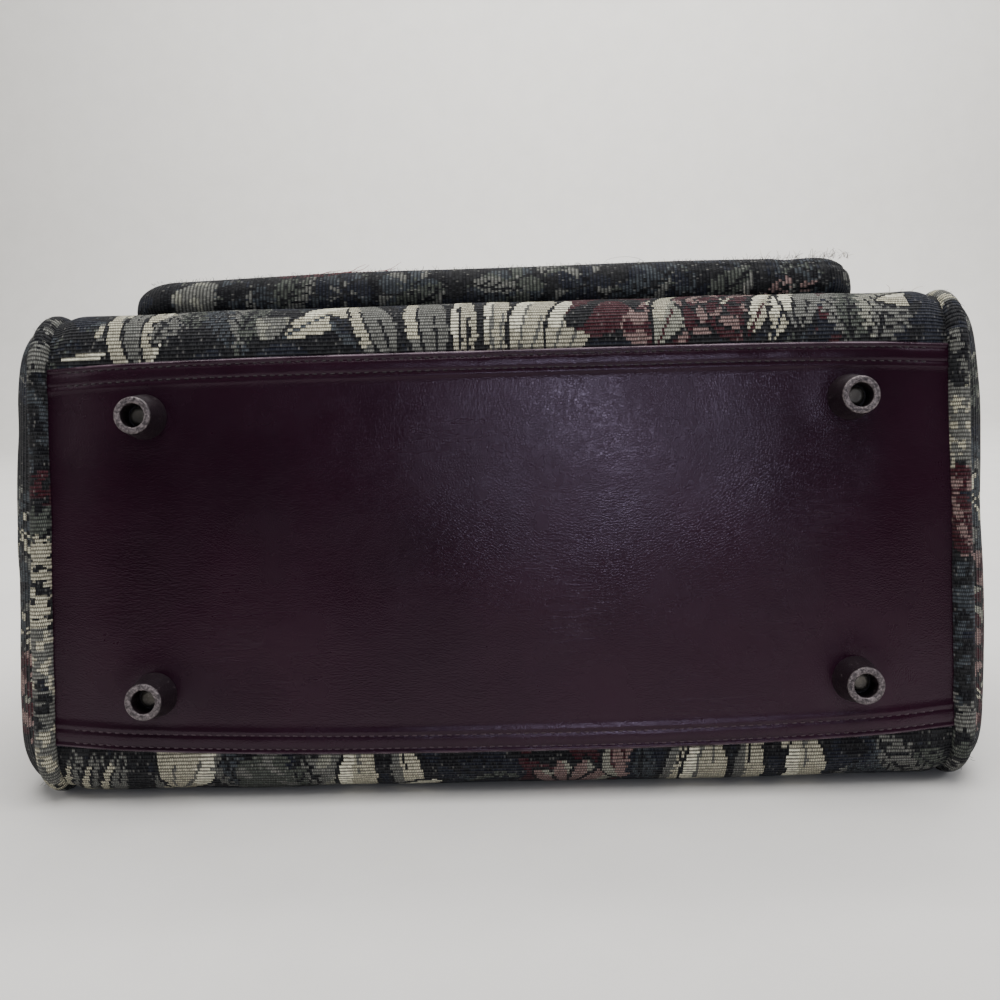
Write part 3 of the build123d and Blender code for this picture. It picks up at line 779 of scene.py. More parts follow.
def gusset(name, hand, seed, bulge, node):
    """An end: it bulges out, sinks in a crease towards the mouth, and turns in under the mouth's strips."""
    start, inset = PIPING_X + 2.6 * MM, 1.4 * MM
    corners = (*half_outline(inset, inset)[:3], (0.72 * BASE_HALF_DEPTH, inset))
    line, _ = rounded(corners, (WAIST_RADIUS, CORNER_RADIUS - inset), MM)
    v = np.arange(inset, MOUTH_HEIGHT - 1 * MM, RIB)
    width = np.interp(v, line[::-1, 1], line[::-1, 0])
    grid_v, grid_t = grid(v, np.linspace(-1, 1, 185))
    grid_w = grid_t * width[:, None]
    from_side = (1 - abs(grid_t)) * width[:, None]
    from_base = grid_v - inset
    rise = (1 - np.exp(-from_side / (9 * MM))) * (1 - np.exp(-from_base / (10 * MM)))
    fade = 1 - 0.72 * smooth((grid_v - 130 * MM) / (170 * MM))
    crease = 2.6 * MM * bump_at(grid_w + 3 * MM * np.sin(grid_v * 21), 10 * MM)
    crease = crease * smooth((grid_v - 150 * MM) / (110 * MM))
    rumple = waves(seed, grid_w * 0.8, grid_v, 34 * MM) * 1.1 * MM
    rumple = rumple + waves(seed + 1, grid_w, grid_v, 13 * MM) * 0.25 * MM
    out = bulge * rise * fade - crease + rumple * rise
    tuck = 5.5 * MM * smooth((grid_v - (MOUTH_HEIGHT - 9 * MM)) / (8 * MM)) ** 2
    x = hand * (start + out - tuck - 1.5 * MM * np.exp(-from_side / (2 * MM)))
    inwards = np.array((1.5, 4, 7, 11))[:, None] * MM
    x = np.concatenate([x, x[-1:] - hand * inwards])
    height = np.concatenate([grid_v, grid_v[-1:] - 0.15 * inwards])
    grid_v = np.concatenate([grid_v, grid_v[-1:] + inwards])
    grid_w = np.concatenate([grid_w, np.repeat(grid_w[-1:], len(inwards), 0)])
    points = keep_above(place(x, grid_w, height), 0.2 * MM)
    return woven(name, points, grid_w, grid_v, seed, flowered(150, 44), node, flip=hand < 0)


piping("piping_cloth_left", -1, 31, "piping_left")
piping("piping_cloth_right", 1, 47, "piping_right")
gusset("end_cloth_left", -1, 53, 20 * MM, "end_gusset_left")
gusset("end_cloth_right", 1, 67, 17 * MM, "end_gusset_right")


# ---------------------------------------------------------------- stitches and threads


def stitches(name, path, normal, spacing, length, radius, material, seed, slot, body="bag"):
    """A row of short threads along a path, each end sinking into the work."""
    sides = 6
    at = lengths(path)
    normal = np.broadcast_to(normal, path.shape)
    spots = np.arange(spacing / 2, at[-1], spacing)
    made = np.random.default_rng(seed)
    spots = spots + made.uniform(-0.05, 0.05, len(spots)) * spacing

    def pick(values, where):
        return np.stack([np.interp(where, at, values[:, k]) for k in range(3)], 1)

    centre, facing = pick(path, spots), pick(normal, spots)
    ahead = units(pick(path, spots + 0.1 * MM) - pick(path, spots - 0.1 * MM))
    facing = units(facing - (facing * ahead).sum(1)[:, None] * ahead)
    beside = np.cross(ahead, facing)
    # Six rings of points: how far along the thread each is, and its share of the radius.
    rings = np.array((-1, -0.72, -0.25, 0.25, 0.72, 1.0))
    size = np.array((0.3, 0.85, 1.0, 1.0, 0.85, 0.3))
    lift = 0.55 - 1.1 * abs(rings) ** 3
    turn = np.linspace(0, 2 * math.pi, sides, endpoint=False)
    skew = made.uniform(-0.10, 0.10, len(spots))[:, None]
    out = []
    for r, s, l in zip(rings, size, lift):
        middle = centre + (ahead + beside * skew) * r * length / 2 + facing * l * radius
        out += [middle + (facing * math.cos(a) + beside * math.sin(a)) * radius * s for a in turn]
    points = np.stack(out, 1)
    faces = tube_faces(len(rings), sides, len(spots))
    return ride(mesh_object(name, points, faces, material), slot=slot, body=body)


def threads(name, lines, radius, material):
    """Loose ends and fuzz: thin tubes along short lines of points."""
    points, faces, sides = [], [], 4
    turn = np.linspace(0, 2 * math.pi, sides, endpoint=False)
    slanted = np.array((0.31, 0.52, 0.79))
    for line in lines:
        line = keep_above(np.array(line, float), 0.3 * MM)
        ahead = directions(line)
        one = units(np.cross(ahead, slanted))
        two = np.cross(ahead, one)
        start, count = len(points), len(line)
        for k in range(count):
            thick = radius * (1 - 0.55 * k / count)
            points += [line[k] + (one[k] * math.cos(a) + two[k] * math.sin(a)) * thick for a in turn]
        faces += [tuple(start + i for i in face) for face in tube_faces(count, sides)]
    return ride(mesh_object(name, points, faces, material), slot="tapestry")


def stray(made, start, direction, length, curl, count=7):
    """One loose end: it leaves along a direction and curls."""
    direction = np.asarray(direction, float)
    bend = np.cross(direction, made.normal(size=3))
    bend /= np.linalg.norm(bend) + 1e-12
    line = [np.asarray(start, float)]
    for _ in range(count):
        direction = direction + bend * curl + made.normal(size=3) * 0.12
        direction /= np.linalg.norm(direction)
        line.append(line[-1] + direction * length / count)
    return line


# ---------------------------------------------------------------- leather base


def leather_edge(x, side):
    """How far the leather's folded edge is from the middle: the front one is nearly straight."""
    if side == FRONT:
        return 84.5 * MM - 2.4 * MM * abs(x / HALF_WIDTH) ** 4
    return 88.5 * MM - 6.0 * MM * abs(x / HALF_WIDTH) ** 2.6


def leather_height(x, from_edge):
    """How high the leather's outer face is, from the base's plane, at places in from its long edges."""
    turned = np.clip(1 - from_edge / (1.2 * MM), 0, 1)
    height = -0.3 * MM - (LEATHER_OUT - 0.3 * MM) * np.sqrt(1 - turned ** 2)
    hem = 0.55 * MM * (1 - smooth((from_edge - 9.6 * MM) / (2.2 * MM)))
    groove = 0.45 * MM * bump_at(from_edge - STITCH_ROWS[0], 0.75 * MM)
    groove = groove + 0.4 * MM * bump_at(from_edge - STITCH_ROWS[1], 0.8 * MM)
    end = 3.2 * MM * smooth((abs(x) - 158 * MM) / (38 * MM)) ** 1.3
    return height - hem * (turned < 1) + groove + end


def leather_base():
    """The base's leather: dented round its feet, soft between them, curled at its ends."""
    x_line = np.linspace(-HALF_WIDTH, HALF_WIDTH, 240)
    near_edge = np.array((0, 0.15, 0.35, 0.6, 0.9, 1.3, 1.8, 2.2, 2.6, 3.0, 3.5, 4.2, 5.2, 6.4, 7.2, 7.8, 8.2,
                          8.6, 9.2, 10, 11, 12.2, 14, 17)) * MM
    from_edge = np.concatenate([near_edge, np.linspace(20 * MM, 87 * MM, 30)])
    share = 1 - from_edge / from_edge[-1]
    front_half = FRONT * leather_edge(x_line, FRONT) * share[:, None]
    back_half = REAR * leather_edge(x_line, REAR) * share[::-1, None]
    depth = np.concatenate([front_half, back_half[1:]])
    x = np.broadcast_to(x_line, depth.shape)
    inwards = np.where(depth < 0, leather_edge(x_line, FRONT), leather_edge(x_line, REAR)) - abs(depth)
    inside = smooth((inwards - 12 * MM) / (30 * MM))
    soft = waves(71, x, depth * 1.3, 120 * MM) * 0.55 * MM + waves(73, x, depth, 42 * MM) * 0.16 * MM
    around_feet = 0
    for foot_x in (-FOOT_X, FOOT_X):
        for foot_depth in (-FOOT_DEPTH, FOOT_DEPTH):
            away = np.hypot(x - foot_x, depth - foot_depth)
            around_feet = around_feet + bump_at(away - 11 * MM, 6 * MM) * (away > 5 * MM)
            inside = inside * (1 - bump_at(away, 26 * MM))
    height = leather_height(x, inwards) + soft * inside - 0.35 * MM * around_feet
    height = height - 0.12 * MM * waves(79, x, depth, 14 * MM) * smooth((12 * MM - inwards) / (8 * MM))
    piece = sheet_object("base_leather", place(x, depth, height), BASE_LEATHER)
    # How far in from the folded edge each point lies; the material paints its fold highlight from this.
    fold_highlight = piece.data.attributes.new("inwards", "FLOAT", "POINT").data
    fold_highlight.foreach_set("value", inwards.reshape(-1).astype(np.float32))
    ride(piece, "base_panel", slot="base_leather")


leather_base()
row_x = np.linspace(-SEAM_END, SEAM_END, 300)
for side, word, material in ((FRONT, "front", STITCH), (REAR, "back", STITCH_RUBBED)):
    for inset, number, seed in ((STITCH_ROWS[0], 1, 5), (STITCH_ROWS[1], 2, 9)):
        wobble = 0.25 * MM * waves(seed + side, row_x, 0, 60 * MM)
        depth = side * (leather_edge(row_x, side) - inset + wobble)
        height = leather_height(row_x, inset) + 0.05 * MM
        stitches(f"base_stitches_{word}_{number}", place(row_x, depth, height), -UP, 3.7 * MM, 2.3 * MM,
                 0.30 * MM, material, seed, "base_leather")


# ---------------------------------------------------------------- pocket

POCKET_ORIGIN = place(0, FRONT * BASE_HALF_DEPTH, 0)
POCKET_UP = units(place(0, FRONT * WAIST_HALF_DEPTH, WAIST_HEIGHT) - POCKET_ORIGIN)
POCKET_OUT = np.cross(ACROSS, POCKET_UP)
POCKET_LEFT, POCKET_RIGHT = -172 * MM, 170 * MM
POCKET_LOW, POCKET_HIGH = 40 * MM, 165 * MM
POCKET_DEEP = 28 * MM
ROLL = 11 * MM  # radius of the pocket's outer edge


def on_pocket(x, along, out):
    """World points for places across the pocket, up the front panel and out from it."""
    x, along, out = np.broadcast_arrays(np.asarray(x, float), along, out)
    return POCKET_ORIGIN + x[..., None] * ACROSS + along[..., None] * POCKET_UP + out[..., None] * POCKET_OUT


def pocket_deep(x):
    """How far the pocket stands out: slack at its left end."""
    return POCKET_DEEP * (0.93 - 0.10 * smooth((-40 * MM - x) / (130 * MM)))


def pocket_wall():
    """The wall round the pocket, rolled over its outer edge to where the face is sewn on."""
    sides = ((POCKET_LEFT, POCKET_HIGH), (POCKET_LEFT, POCKET_LOW), (POCKET_RIGHT, POCKET_LOW),
             (POCKET_RIGHT, POCKET_HIGH))
    path, length = rounded(sides, (20 * MM, 17 * MM), RIB)
    outward = outwards(path)
    outward *= np.sign((outward * (path - (0, 0.1))).sum(1))[:, None]
    corners = ((-5 * MM, 0.3 * MM), (0, 9 * MM), (0, POCKET_DEEP), (-15.4 * MM, POCKET_DEEP))
    profile, run = rounded(corners, (12 * MM, ROLL), STEP)
    out, z = profile[:, 0], profile[:, 1]
    grid_l, grid_r = grid(length, run)
    at_x = path[:, 0][:, None]
    upright = np.sin(math.pi * np.clip(z / POCKET_DEEP, 0, 1) ** 0.8)
    full = 2.4 * MM + 2.2 * MM * smooth((-140 * MM - at_x) / (25 * MM))
    belly = full * upright + 0.7 * MM * waves(83, grid_l, grid_r, 26 * MM) * upright
    seam = 0.9 * MM * bump_at(grid_r - 22.5 * MM, 0.9 * MM) * smooth((at_x - 60 * MM) / (60 * MM))
    rolled = smooth(grid_r / (20 * MM))
    pinch = 2.2 * MM * bump_at(grid_l - length[-1] * 0.742, 5 * MM) * rolled
    x, along = push_out(path, outward, out - 1.4 * MM + belly - seam - pinch)
    lumps = 0.5 * MM * waves(84, grid_l, 0, 60 * MM) * rolled
    points = on_pocket(x, along, z * pocket_deep(at_x) / POCKET_DEEP + lumps)
    return woven("pocket_wall", points, grid_r, grid_l, 89, paint_wall, "front_pocket", 0.1, flip=True)


def paint_wall(cloth):
    """Dark flowers and leaves along the wall; its lower side starts at corner."""
    corner = 125
    leaf, block = cloth.leaf, cloth.block
    cloth.sprigs(130, WALL_SPRIGS, 0.9)
    for at, size, (body, rim, vein) in ((30, 15, (INK, SLATE, MOSS)), (92, 15, (NAVY, SLATE, GREY)),
                                        (124, 16, (SLATE, GREY, MOSS)), (172, 15, (MOSS, SLATE, GREY)),
                                        (205, 14, (NAVY, GREY, SLATE)), (240, 15, (NAVY, SLATE, MOSS))):
        for k in range(5):
            cloth.petal(14, corner + at, 72 * k + 20, size, size * 0.9, body, rim, vein, 1)
    for at in (14, 22, 29):
        leaf(6, corner + at, 8, 19, 6, SLATE, GREY)
    block(12, corner + 22, 26, 20, GREY, PALE, 4.0, 0.45)
    for across, at, angle, length, width, body, rim in (
            (5, 60, 30, 34, 17, MOSS, GREY), (22, 50, 150, 26, 13, SLATE, GREY),
            (2, 112, 62, 34, 17, MOSS, GREY), (20, 186, 20, 30, 15, GREY, MOSS),
            (6, 222, 60, 30, 15, SLATE, GREY), (18, 152, 100, 26, 12, GREY, SLATE),
            (4, 262, 50, 30, 16, MOSS, GREY), (6, 290, 60, 18, 10, ROSE, GREY),
            (9, 304, 75, 12, 7, ROSE, SLATE), (12, 325, 60, 28, 12, GREY, SLATE)):
        leaf(across, corner + at, angle, length, width, body, rim)
    block(29, corner + 76, 8, 32, WINE, INK, 3.0)


def on_roll(x, turn):
    """A place on the pocket's rolled lower edge and the way out of it; turn goes from wall to face."""
    along = POCKET_LOW + 1.4 * MM + ROLL * (1 - math.cos(turn))
    high = (POCKET_DEEP - ROLL * (1 - math.sin(turn))) * pocket_deep(x) / POCKET_DEEP
    return on_pocket(x, along, high), -POCKET_UP * math.cos(turn) + POCKET_OUT * math.sin(turn)


def paint_face(cloth):
    """Flowers all over, a red one low on the left and a fan below the edge's middle."""
    flowered(150, 44)(cloth)
    cloth.bloom(-95, 60, 20, WINE, ROSE, PALE, 10)
    cloth.fan(0, 112, 90, 44, 150, 7, 15)


def pocket_face():
    """The flat outer side of the pocket, its edges tucked under the wall's."""
    tuck = 14.2 * MM
    x = np.linspace(POCKET_LEFT + tuck, POCKET_RIGHT - tuck, 291)
    along = np.arange(POCKET_LOW + tuck, POCKET_HIGH + 0.6 * MM, RIB)
    grid_a, grid_x = grid(along, x)
    edge = np.minimum(np.minimum(grid_x - x[0], x[-1] - grid_x), grid_a - along[0])
    belly = 3.0 * MM * smooth(edge / (40 * MM)) * smooth((POCKET_HIGH + 10 * MM - grid_a) / (60 * MM))
    tucked = -1.7 * MM * (1 - smooth((edge - 0.8 * MM) / (3.2 * MM)))
    ridge = 0.5 * MM * bump_at(edge - 4.6 * MM, 1.6 * MM)
    rumple = 0.6 * MM * waves(97, grid_x, grid_a * 1.3, 36 * MM) * smooth(edge / (10 * MM))
    points = on_pocket(grid_x, grid_a, pocket_deep(grid_x) + belly + tucked + ridge + rumple)
    return woven("pocket_face", points, grid_x, grid_a, 101, paint_face, "front_pocket")


def pocket_inside():
    """A dark lining just behind the pocket's face, seen from above through its mouth."""
    x = np.linspace(POCKET_LEFT + 14 * MM, POCKET_RIGHT - 14 * MM, 60)
    grid_a, grid_x = grid(np.linspace(POCKET_LOW + 16 * MM, POCKET_HIGH, 24), x)
    points = on_pocket(grid_x, grid_a, pocket_deep(grid_x) - 2.8 * MM)
    return ride(sheet_object("pocket_lining", points, LINING_CLOTH, flip=True), slot="lining")


def sweep(name, path, section, normal, *nodes, body="bag", closed_ends=True):
    """Leather of a closed section, as (sideways, outwards), carried along a path; normal is outwards."""
    ahead = directions(path)
    beside = units(np.cross(ahead, normal))
    out = np.cross(beside, ahead)
    points = path[:, None] + beside[:, None] * section[..., :1] + out[:, None] * section[..., 1:]
    rows, columns = points.shape[:2]
    faces = grid_faces(rows, columns, True)
    if closed_ends:
        faces += [tuple(range(columns)), tuple(range((rows - 1) * columns, rows * columns))[::-1]]
    piece = mesh_object(name, points, faces, TRIM_LEATHER)
    return ride(piece, *nodes, slot="trim_leather", body=body)


def rounded_box(half_wide, half_thick, radius):
    """A closed rounded rectangle as (sideways, outwards)."""
    out = []
    for side, top, start in ((1, 1, 0), (-1, 1, 90), (-1, -1, 180), (1, -1, 270)):
        for a in np.radians(start + np.linspace(0, 90, 5)):
            out.append((side * (half_wide - radius) + radius * math.cos(a),
                        top * (half_thick - radius) + radius * math.sin(a)))
    return np.array(out)


pocket_wall()
pocket_face()
pocket_inside()
lip_x = np.linspace(POCKET_LEFT + 12 * MM, POCKET_RIGHT - 12 * MM, 90)
lip_out = pocket_deep(lip_x) - 0.6 * MM + 0.3 * MM * waves(5, lip_x, 0, 50 * MM)
lip = on_pocket(lip_x, POCKET_HIGH - 5 * MM, lip_out)
sweep("pocket_edge", lip, rounded_box(6.2 * MM, 2.3 * MM, 1.6 * MM), POCKET_OUT, "pocket_binding")
stitches("pocket_edge_stitches", lip + POCKET_OUT * 2.3 * MM - POCKET_UP * 3.8 * MM, POCKET_OUT, 3.6 * MM,
         2.6 * MM, 0.28 * MM, STITCH, 3, "trim_leather")


# ---------------------------------------------------------------- mouth and zip


def mouth_strip(name, facing, seed, node):
    """The cloth between a panel's top edge and the zip, sunk a little along its middle."""
    inner, outer = 11 * MM, 54.5 * MM
    corners = ((inner, MOUTH_HEIGHT - 2.4 * MM), (inner, MOUTH_HEIGHT), (outer, MOUTH_HEIGHT),
               (outer, MOUTH_HEIGHT - 3 * MM))
    profile, s = rounded(corners, (1.0 * MM, 2.0 * MM), RIB / 1.5)
    depth, height = profile[:, :1], profile[:, 1:]
    grid_s, grid_x = grid(s, PANEL_X)
    top = smooth((height - (MOUTH_HEIGHT - 0.6 * MM)) / (0.6 * MM))
    fall = 1.0 * MM * smooth((abs(grid_x) - 182 * MM) / (12 * MM)) ** 2
    sink = 1.6 * MM * np.sin(math.pi * np.clip((depth - inner) / (outer - inner), 0, 1))
    rumple = 0.4 * MM * waves(seed, grid_x, grid_s, 30 * MM) * top * (sink > 0.5 * MM)
    points = place(grid_x, facing * depth, height - fall - sink * top + rumple)
    return woven(name, points, grid_x, grid_s, seed, flowered(90, 40), node, flip=facing == FRONT)


mouth_strip("mouth_cloth_front", FRONT, 113, "mouth_strip_front")
mouth_strip("mouth_cloth_back", REAR, 127, "mouth_strip_back")
seam_x = np.linspace(-SEAM_END, SEAM_END, 160)
for facing, word in ((FRONT, "front"), (REAR, "back")):
    stitches(f"zip_stitches_{word}", place(seam_x, facing * 14.5 * MM, MOUTH_HEIGHT - 0.2 * MM), UP,
             3.4 * MM, 2.5 * MM, 0.26 * MM, STITCH, 21, "tapestry")

for hand, word in ((-1, "left"), (1, "right")):
    # A leather patch over the zip's end, sewn on along three sides.
    patch_x = np.linspace(177.5, 194, 12) * MM
    patch_fall = 0.9 * MM * smooth((patch_x - 186 * MM) / (8 * MM))
    patch = place(hand * patch_x, 0, MOUTH_HEIGHT + 0.35 * MM - patch_fall)
    sweep(f"zip_end_{word}", patch, rounded_box(14.5 * MM, 0.8 * MM, 0.5 * MM), UP)
    edge = np.array([(192, -12.6), (179.6, -12.6), (179.6, 12.6), (192, 12.6)]) * MM
    flat, _ = rounded(edge, (1.5 * MM, 1.5 * MM), MM)
    stitches(f"zip_end_stitches_{word}", place(hand * flat[:, 0], flat[:, 1], MOUTH_HEIGHT + 1.2 * MM), UP,
             3.2 * MM, 2.3 * MM, 0.28 * MM, STITCH, 51, "trim_leather")

CHAIN_TOP = MOUTH_HEIGHT - 2.1 * MM
CHAIN_THICK = 2.2 * MM
TOOTH_PITCH = 2.5 * MM


def zip_teeth(name, facing, node):
    """Metal teeth: a square root clamped on the tape and a rounded nose that meets the other side."""
    half = [(3.2, -0.75), (1.6, -0.75), (0.9, -0.62), (-0.5, -0.5), (-0.75, 0.0)]
    outline = np.array(half + [(w, -across) for w, across in half[-2::-1]]) * MM
    middle = 1.2 * MM
    spots = np.arange(-171 * MM, 171.5 * MM, TOOTH_PITCH) + (0 if facing == FRONT else TOOTH_PITCH / 2)
    levels = ((0.0, 0.84), (0.10, 1.0), (0.90, 1.0), (1.0, 0.84))
    points = [(x + across * size, facing * (middle + (w - middle) * size),
               CHAIN_TOP - CHAIN_THICK * (1 - level))
              for x in spots for level, size in levels for w, across in outline]
    faces = [face[::facing * FRONT] for face in tube_faces(len(levels), len(outline), len(spots))]
    return ride(mesh_object(name, place(*np.transpose(points)), faces, BRASS, False), node, slot="zip_metal")


zip_teeth("zip_teeth_front", FRONT, "zip_chain_front")
zip_teeth("zip_teeth_back", REAR, "zip_chain_back")


# ---------------------------------------------------------------- handles

HANDLE_BEND = 60 * MM
HANDLE_REACH = 99 * MM
HANDLE_RADIUS = 5.5 * MM
RING_LENGTH = 20 * MM
HINGE_BELOW_MOUTH = 12.5 * MM
HINGE_OUT = 6.1 * MM
TAB_X = 70 * MM
TAB_THICK = 3.6 * MM
RIVET_HEAD = 1.6 * MM
SEAM_ROOM = 0.3 * MM
REST_ARM = 25.5 * MM  # from the front handle's hinge to where it lies on its tab's rivet


def rolled_handle(name, row, origin, reach):
    """Leather rolled round a cord, its edges closed in a stitched ridge, with a folded loop at each ring."""
    body = f"{row}_handle"
    out = np.cross(ACROSS, reach)
    corners = ((-TAB_X, 26 * MM), (-TAB_X, HANDLE_REACH), (TAB_X, HANDLE_REACH), (TAB_X, 26 * MM))
    flat, length = rounded(corners, (HANDLE_BEND, HANDLE_BEND), 2 * MM)
    path = origin + flat[:, :1] * ACROSS + flat[:, 1:] * reach
    ends = np.minimum(length, length[-1] - length)
    uneven = 1 + 0.015 * np.sin(length / (7 * MM))
    radius = HANDLE_RADIUS * (0.80 + 0.18 * smooth(ends / (22 * MM))) * uneven
    # The ridge runs along the inner side of the bend.
    turn = np.linspace(0, 2 * math.pi, 22, endpoint=False)
    ridge = 0.26 * (bump_at(turn, 0.30) + bump_at(2 * math.pi - turn, 0.30))
    section = radius[:, None, None] * np.stack([np.cos(turn) * (1 + ridge), np.sin(turn)], 1)
    sweep(name, path, section, out, f"handle_{row}", body=body)
    beside = units(np.cross(directions(path), out))
    seam = path + beside * (radius * 1.08)[:, None] + out * 0.9 * MM
    stitches(f"{name}_stitches", seam[3:-3], beside[3:-3] * 0.6 + out, 4.0 * MM, 2.8 * MM, 0.36 * MM, STITCH,
             33, "trim_leather", body)
    for hand, word in ((-1, "left"), (1, "right")):
        # The loop: the leather goes flat, round the ring's far bar, and back on itself.
        centre = origin + hand * TAB_X * ACROSS + RING_LENGTH * reach
        angles = np.radians(np.linspace(38, 322, 23))
        run = np.stack([np.cos(angles), np.sin(angles)], 1) * 3.8 * MM
        stem = np.array([(12, 1.9), (9, 2.1), (6, 2.5)]) * MM
        run = np.concatenate([stem, run, stem[::-1] * (1, -1)])
        line = centre + run[:, :1] * reach + run[:, 1:] * out
        wide = np.interp(np.linspace(0, 1, len(line)), (0, 0.15, 0.85, 1), (4.6, 6.8, 6.8, 4.6)) * MM
        section = np.stack([rounded_box(w, 0.95 * MM, 0.6 * MM) for w in wide])
        sweep(f"{name}_loop_{word}", line, section, np.cross(ACROSS, directions(line)), body=body)
        # The band round the loop's two layers.
        turn = np.linspace(0, 2 * math.pi, 29)[:, None]
        sideways, outward = np.cos(turn) * ACROSS, np.sin(turn) * out
        ring = centre + reach * 10.5 * MM + sideways * 5.3 * MM + outward * 4.6 * MM
        sweep(f"{name}_band_{word}", ring, rounded_box(3.0 * MM, 0.7 * MM, 0.5 * MM), sideways + outward,
              body=body, closed_ends=False)


def handle_frame(facing):
    """The hinge line's middle, the handle's direction at rest, and the panel's own two directions."""
    mouth = place(0, facing * MOUTH_HALF_DEPTH, MOUTH_HEIGHT)
    rise = units(mouth - place(0, facing * WAIST_HALF_DEPTH, WAIST_HEIGHT))
    out = np.cross(ACROSS, rise) * -facing
    origin = mouth - rise * HINGE_BELOW_MOUTH + out * HINGE_OUT
    if facing == FRONT:
        stand_off = 2 * SEAM_ROOM + TAB_THICK + RIVET_HEAD + HANDLE_RADIUS - HINGE_OUT
        tilt = math.asin(stand_off / REST_ARM)
        reach = -rise * math.cos(tilt) + out * math.sin(tilt)
    else:
        droop = math.asin((origin[2] - HANDLE_RADIUS - SEAM_ROOM) / HANDLE_REACH)
        reach = np.array((0, math.cos(droop), -math.sin(droop)))
    return origin, reach, rise, out


for row, facing in (("front", FRONT), ("back", REAR)):
    origin, reach, rise, out = handle_frame(facing)
    rolled_handle(f"rolled_handle_{row}", row, origin, reach)
    for hand, word in ((-1, "left"), (1, "right")):
        tab_top = origin + hand * TAB_X * ACROSS + out * (SEAM_ROOM + TAB_THICK + 0.05 * MM - HINGE_OUT)
        corners = np.array(((-10, -13), (-10, -43), (10, -43), (10, -13))) * MM
        flat, _ = rounded(corners, (2 * MM, 2 * MM), MM)
        stitches(f"tab_stitches_{row}_{word}", tab_top + flat[:, :1] * ACROSS + flat[:, 1:] * rise, out,
                 3.4 * MM, 2.5 * MM, 0.3 * MM, STITCH, 41, "trim_leather")


# ---------------------------------------------------------------- loose threads

made = np.random.default_rng(131)
dark, pale, red = [], [], []
# Fuzz along the pocket's rolled edge, with longer threads near its right end.
for _ in range(520):
    start, way = on_roll(made.uniform(POCKET_LEFT + 8 * MM, POCKET_RIGHT - 8 * MM), made.uniform(0.5, 1.5))
    dark.append(stray(made, start, way + made.normal(size=3) * 0.5, made.uniform(0.8, 2.2) * MM, 0.25, 4))
for _ in range(60):
    start, way = on_roll(POCKET_RIGHT - 3 * MM - made.uniform(0, 1) ** 2 * 46 * MM, made.uniform(0.7, 1.4))
    way = way + made.uniform(-0.4, 0.7) * ACROSS
    group = pale if made.random() < 0.45 else dark
    group.append(stray(made, start, way, made.uniform(2, 6) * MM, 0.2, 6))
# Ends hanging below the pocket.
for x, length in ((96, 5), (100, 6.5), (116, 7.5), (119, 9), (124, 6), (131, 5)):
    start = on_pocket(x * MM, 36.5 * MM, 1.6 * MM)
    way = made.uniform(-0.3, 0.6) * ACROSS - POCKET_UP + POCKET_OUT * 0.4
    pale.append(stray(made, start, way, length * MM, 0.22, 7))
# Fuzz along both pipings.
for hand in (-1, 1):
    line, _ = rounded(half_outline(1.5 * MM, -2.0 * MM), (WAIST_RADIUS, CORNER_RADIUS), MM)
    for _ in range(240):
        k = int(made.integers(4, len(line) - 4))
        facing = FRONT if made.random() < 0.6 else REAR
        spread = made.uniform(-3, 4) * MM
        ahead = line[k + 1] - line[k - 1]
        normal = units(np.array((ahead[1], -ahead[0])))
        normal = normal if normal @ (line[k] - (0, 0.12)) > 0 else -normal
        start = place(hand * (PIPING_X + spread), facing * line[k, 0], line[k, 1])
        way = facing * normal[0] * BACK + normal[1] * UP + hand * 0.5 * ACROSS + made.normal(size=3) * 0.4
        dark.append(stray(made, start, way, made.uniform(1.0, 3.0) * MM, 0.3, 4))
# Two threads that arch off the pocket's edge, red ones along it, and ends beside the right piping.
for x, width, height in ((-96, 2.4, 1.6), (62, 19, 3.2)):
    turn = np.linspace(0, math.pi, 12)[:, None]
    arch = np.cos(turn) * width / 2 * MM * ACROSS + POCKET_OUT * np.sin(turn) * height * MM
    dark.append(on_roll(x * MM, 1.2)[0] + arch)
for x in np.linspace(-92, -52, 24):
    start = on_roll(x * MM, made.uniform(1.0, 1.35))[0] + POCKET_OUT * 0.2 * MM
    red.append(stray(made, start, ACROSS + made.normal(size=3) * 0.12, 9 * MM, 0.05, 6))
for x in (176, 181, 186):
    start = place(x * MM, -107.5 * MM, 20 * MM)
    pale.append(stray(made, start, UP * 0.4 - BACK + 0.7 * ACROSS, made.uniform(3, 6) * MM, 0.3, 6))
threads("stray_threads_dark", dark, 0.09 * MM, STRAY_DARK)
threads("stray_threads_pale", pale, 0.12 * MM, STRAY_PALE)
threads("stray_threads_red", red, 0.16 * MM, STRAY_RED)


# ---------------------------------------------------------------- carried-over parts

FINISHES = {
    "foot_rivet": RIVET_METAL, "foot_washer": RIVET_METAL, "foot": FOOT_METAL, "tab_rivet": RIVET_METAL,
    "handle_ring": BRASS, "handle_tab": TRIM_LEATHER, "zip_tape": TAPE_CLOTH, "zip_stop": BRASS,
    "zip_slider": BRASS, "zip_pull_ring": BRASS, "zip_pull_tab": TRIM_LEATHER, "lining": LINING_CLOTH,
    "base_board": BOARD, "zip_chain": BRASS}
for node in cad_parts:
    finish = next((m for start, m in FINISHES.items() if node.startswith(start)), None)
    node_object = bpy.data.objects.get(node)
    if finish and node_object and node_object.type == "MESH":
        if not node_object.material_slots:
            node_object.data.materials.append(finish)
        for slot in node_object.material_slots:
            slot.material = finish


# ---------------------------------------------------------------- studio


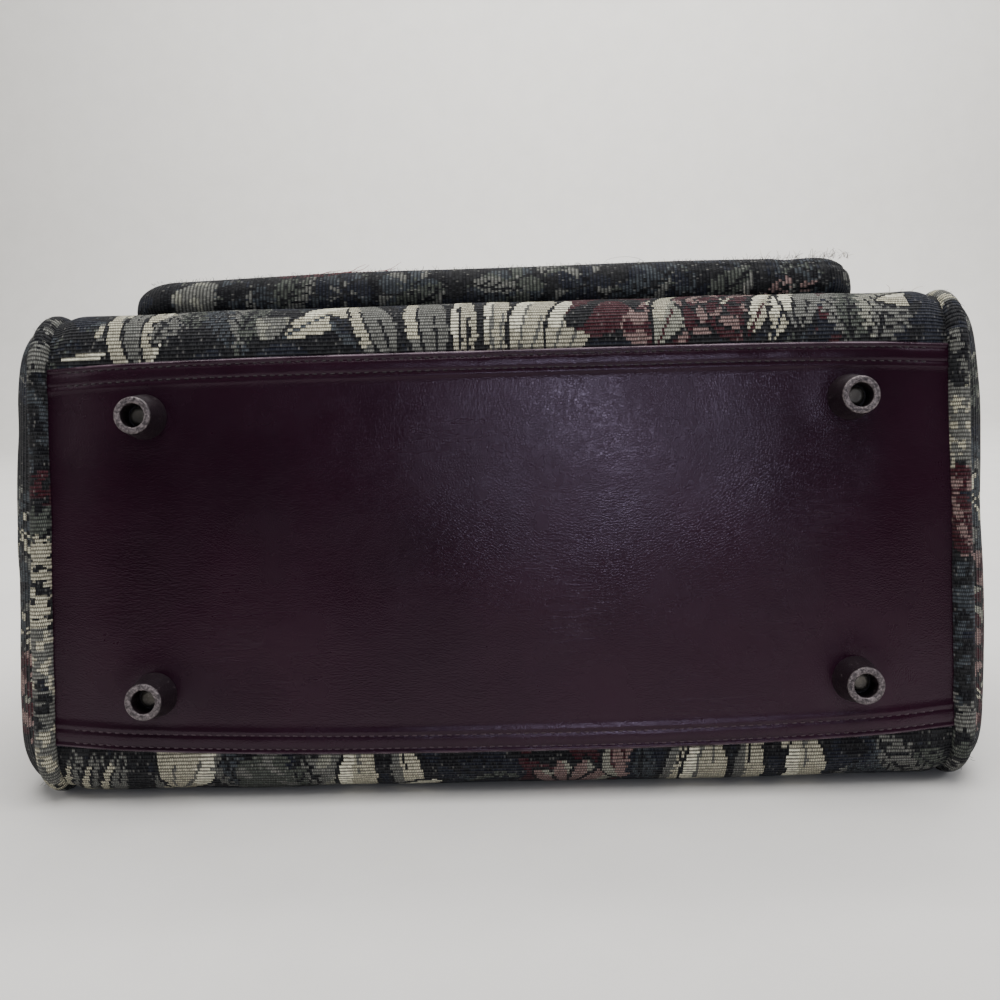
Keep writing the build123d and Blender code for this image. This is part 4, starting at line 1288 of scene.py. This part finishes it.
def studio():
    floor_y, wall_y, radius, half = -3.0, 2.4, 0.6, 4.0
    profile = [(floor_y, 0.0), (wall_y - radius, 0.0)]
    bend = np.linspace(0, math.pi / 2, 14)[1:]
    profile += [(wall_y - radius + radius * math.sin(a), radius - radius * math.cos(a)) for a in bend]
    profile += [(wall_y, 3.6)]
    points = [(x, y, z) for y, z in profile for x in (-half, half)]
    faces = [face[::-1] for face in grid_faces(len(profile), 2)]
    backdrop = mesh_object("studio_floor", points, faces, floor_material())
    world = bpy.data.worlds.new("studio")
    bpy.context.scene.world = world
    world.use_nodes = True
    world.node_tree.nodes["Background"].inputs[0].default_value = (0.93, 0.96, 1.0, 1)
    world.node_tree.nodes["Background"].inputs[1].default_value = 0.13
    for name, at, aim, size, power, tint in (
            ("top", (0.15, -0.15, 1.7), (0, 0.12, 0.1), (1.7, 1.5), 48, (1.0, 0.985, 0.965)),
            ("wall", (0.3, 0.9, 1.9), (0.1, 2.4, 0.5), (2.6, 0.8), 86, (1.0, 0.99, 0.965)),
            ("left", (-1.3, -0.55, 0.6), (-0.05, 0.0, 0.1), (0.8, 0.9), 6, (1.0, 0.98, 0.95)),
            ("right", (1.25, -0.5, 0.8), (0.1, 0.0, 0.1), (0.7, 0.8), 5.5, (0.94, 0.95, 1.0)),
            ("front", (0.164, -1.516, 0.427), (0.05, 0.0, 0.16), (0.24, 0.12), 2.7, (0.78, 0.82, 1.0))):
        light = bpy.data.lights.new(name, "AREA")
        light.shape, light.size, light.size_y = "RECTANGLE", size[0], size[1]
        light.energy, light.color = power, tint
        lamp = bpy.data.objects.new(name, light)
        lamp.location = at
        lamp.rotation_euler = (Vector(aim) - Vector(at)).to_track_quat("-Z", "Y").to_euler()
        bpy.context.scene.collection.objects.link(lamp)


def photograph_camera():
    data = bpy.data.cameras.new("camera")
    data.lens, data.sensor_width, data.clip_start = 36, 36, 0.01
    camera = bpy.data.objects.new("camera", data)
    turn = Matrix.Rotation(math.radians(1.14), 4, "Z") @ Matrix.Rotation(math.radians(81.6), 4, "X")
    turn = turn @ Matrix.Rotation(math.radians(-1.7), 4, "Z")
    camera.matrix_world = Matrix.Translation((0.0095, -0.523, 0.1927)) @ turn
    bpy.context.scene.collection.objects.link(camera)
    bpy.context.scene.camera = camera


studio()
photograph_camera()
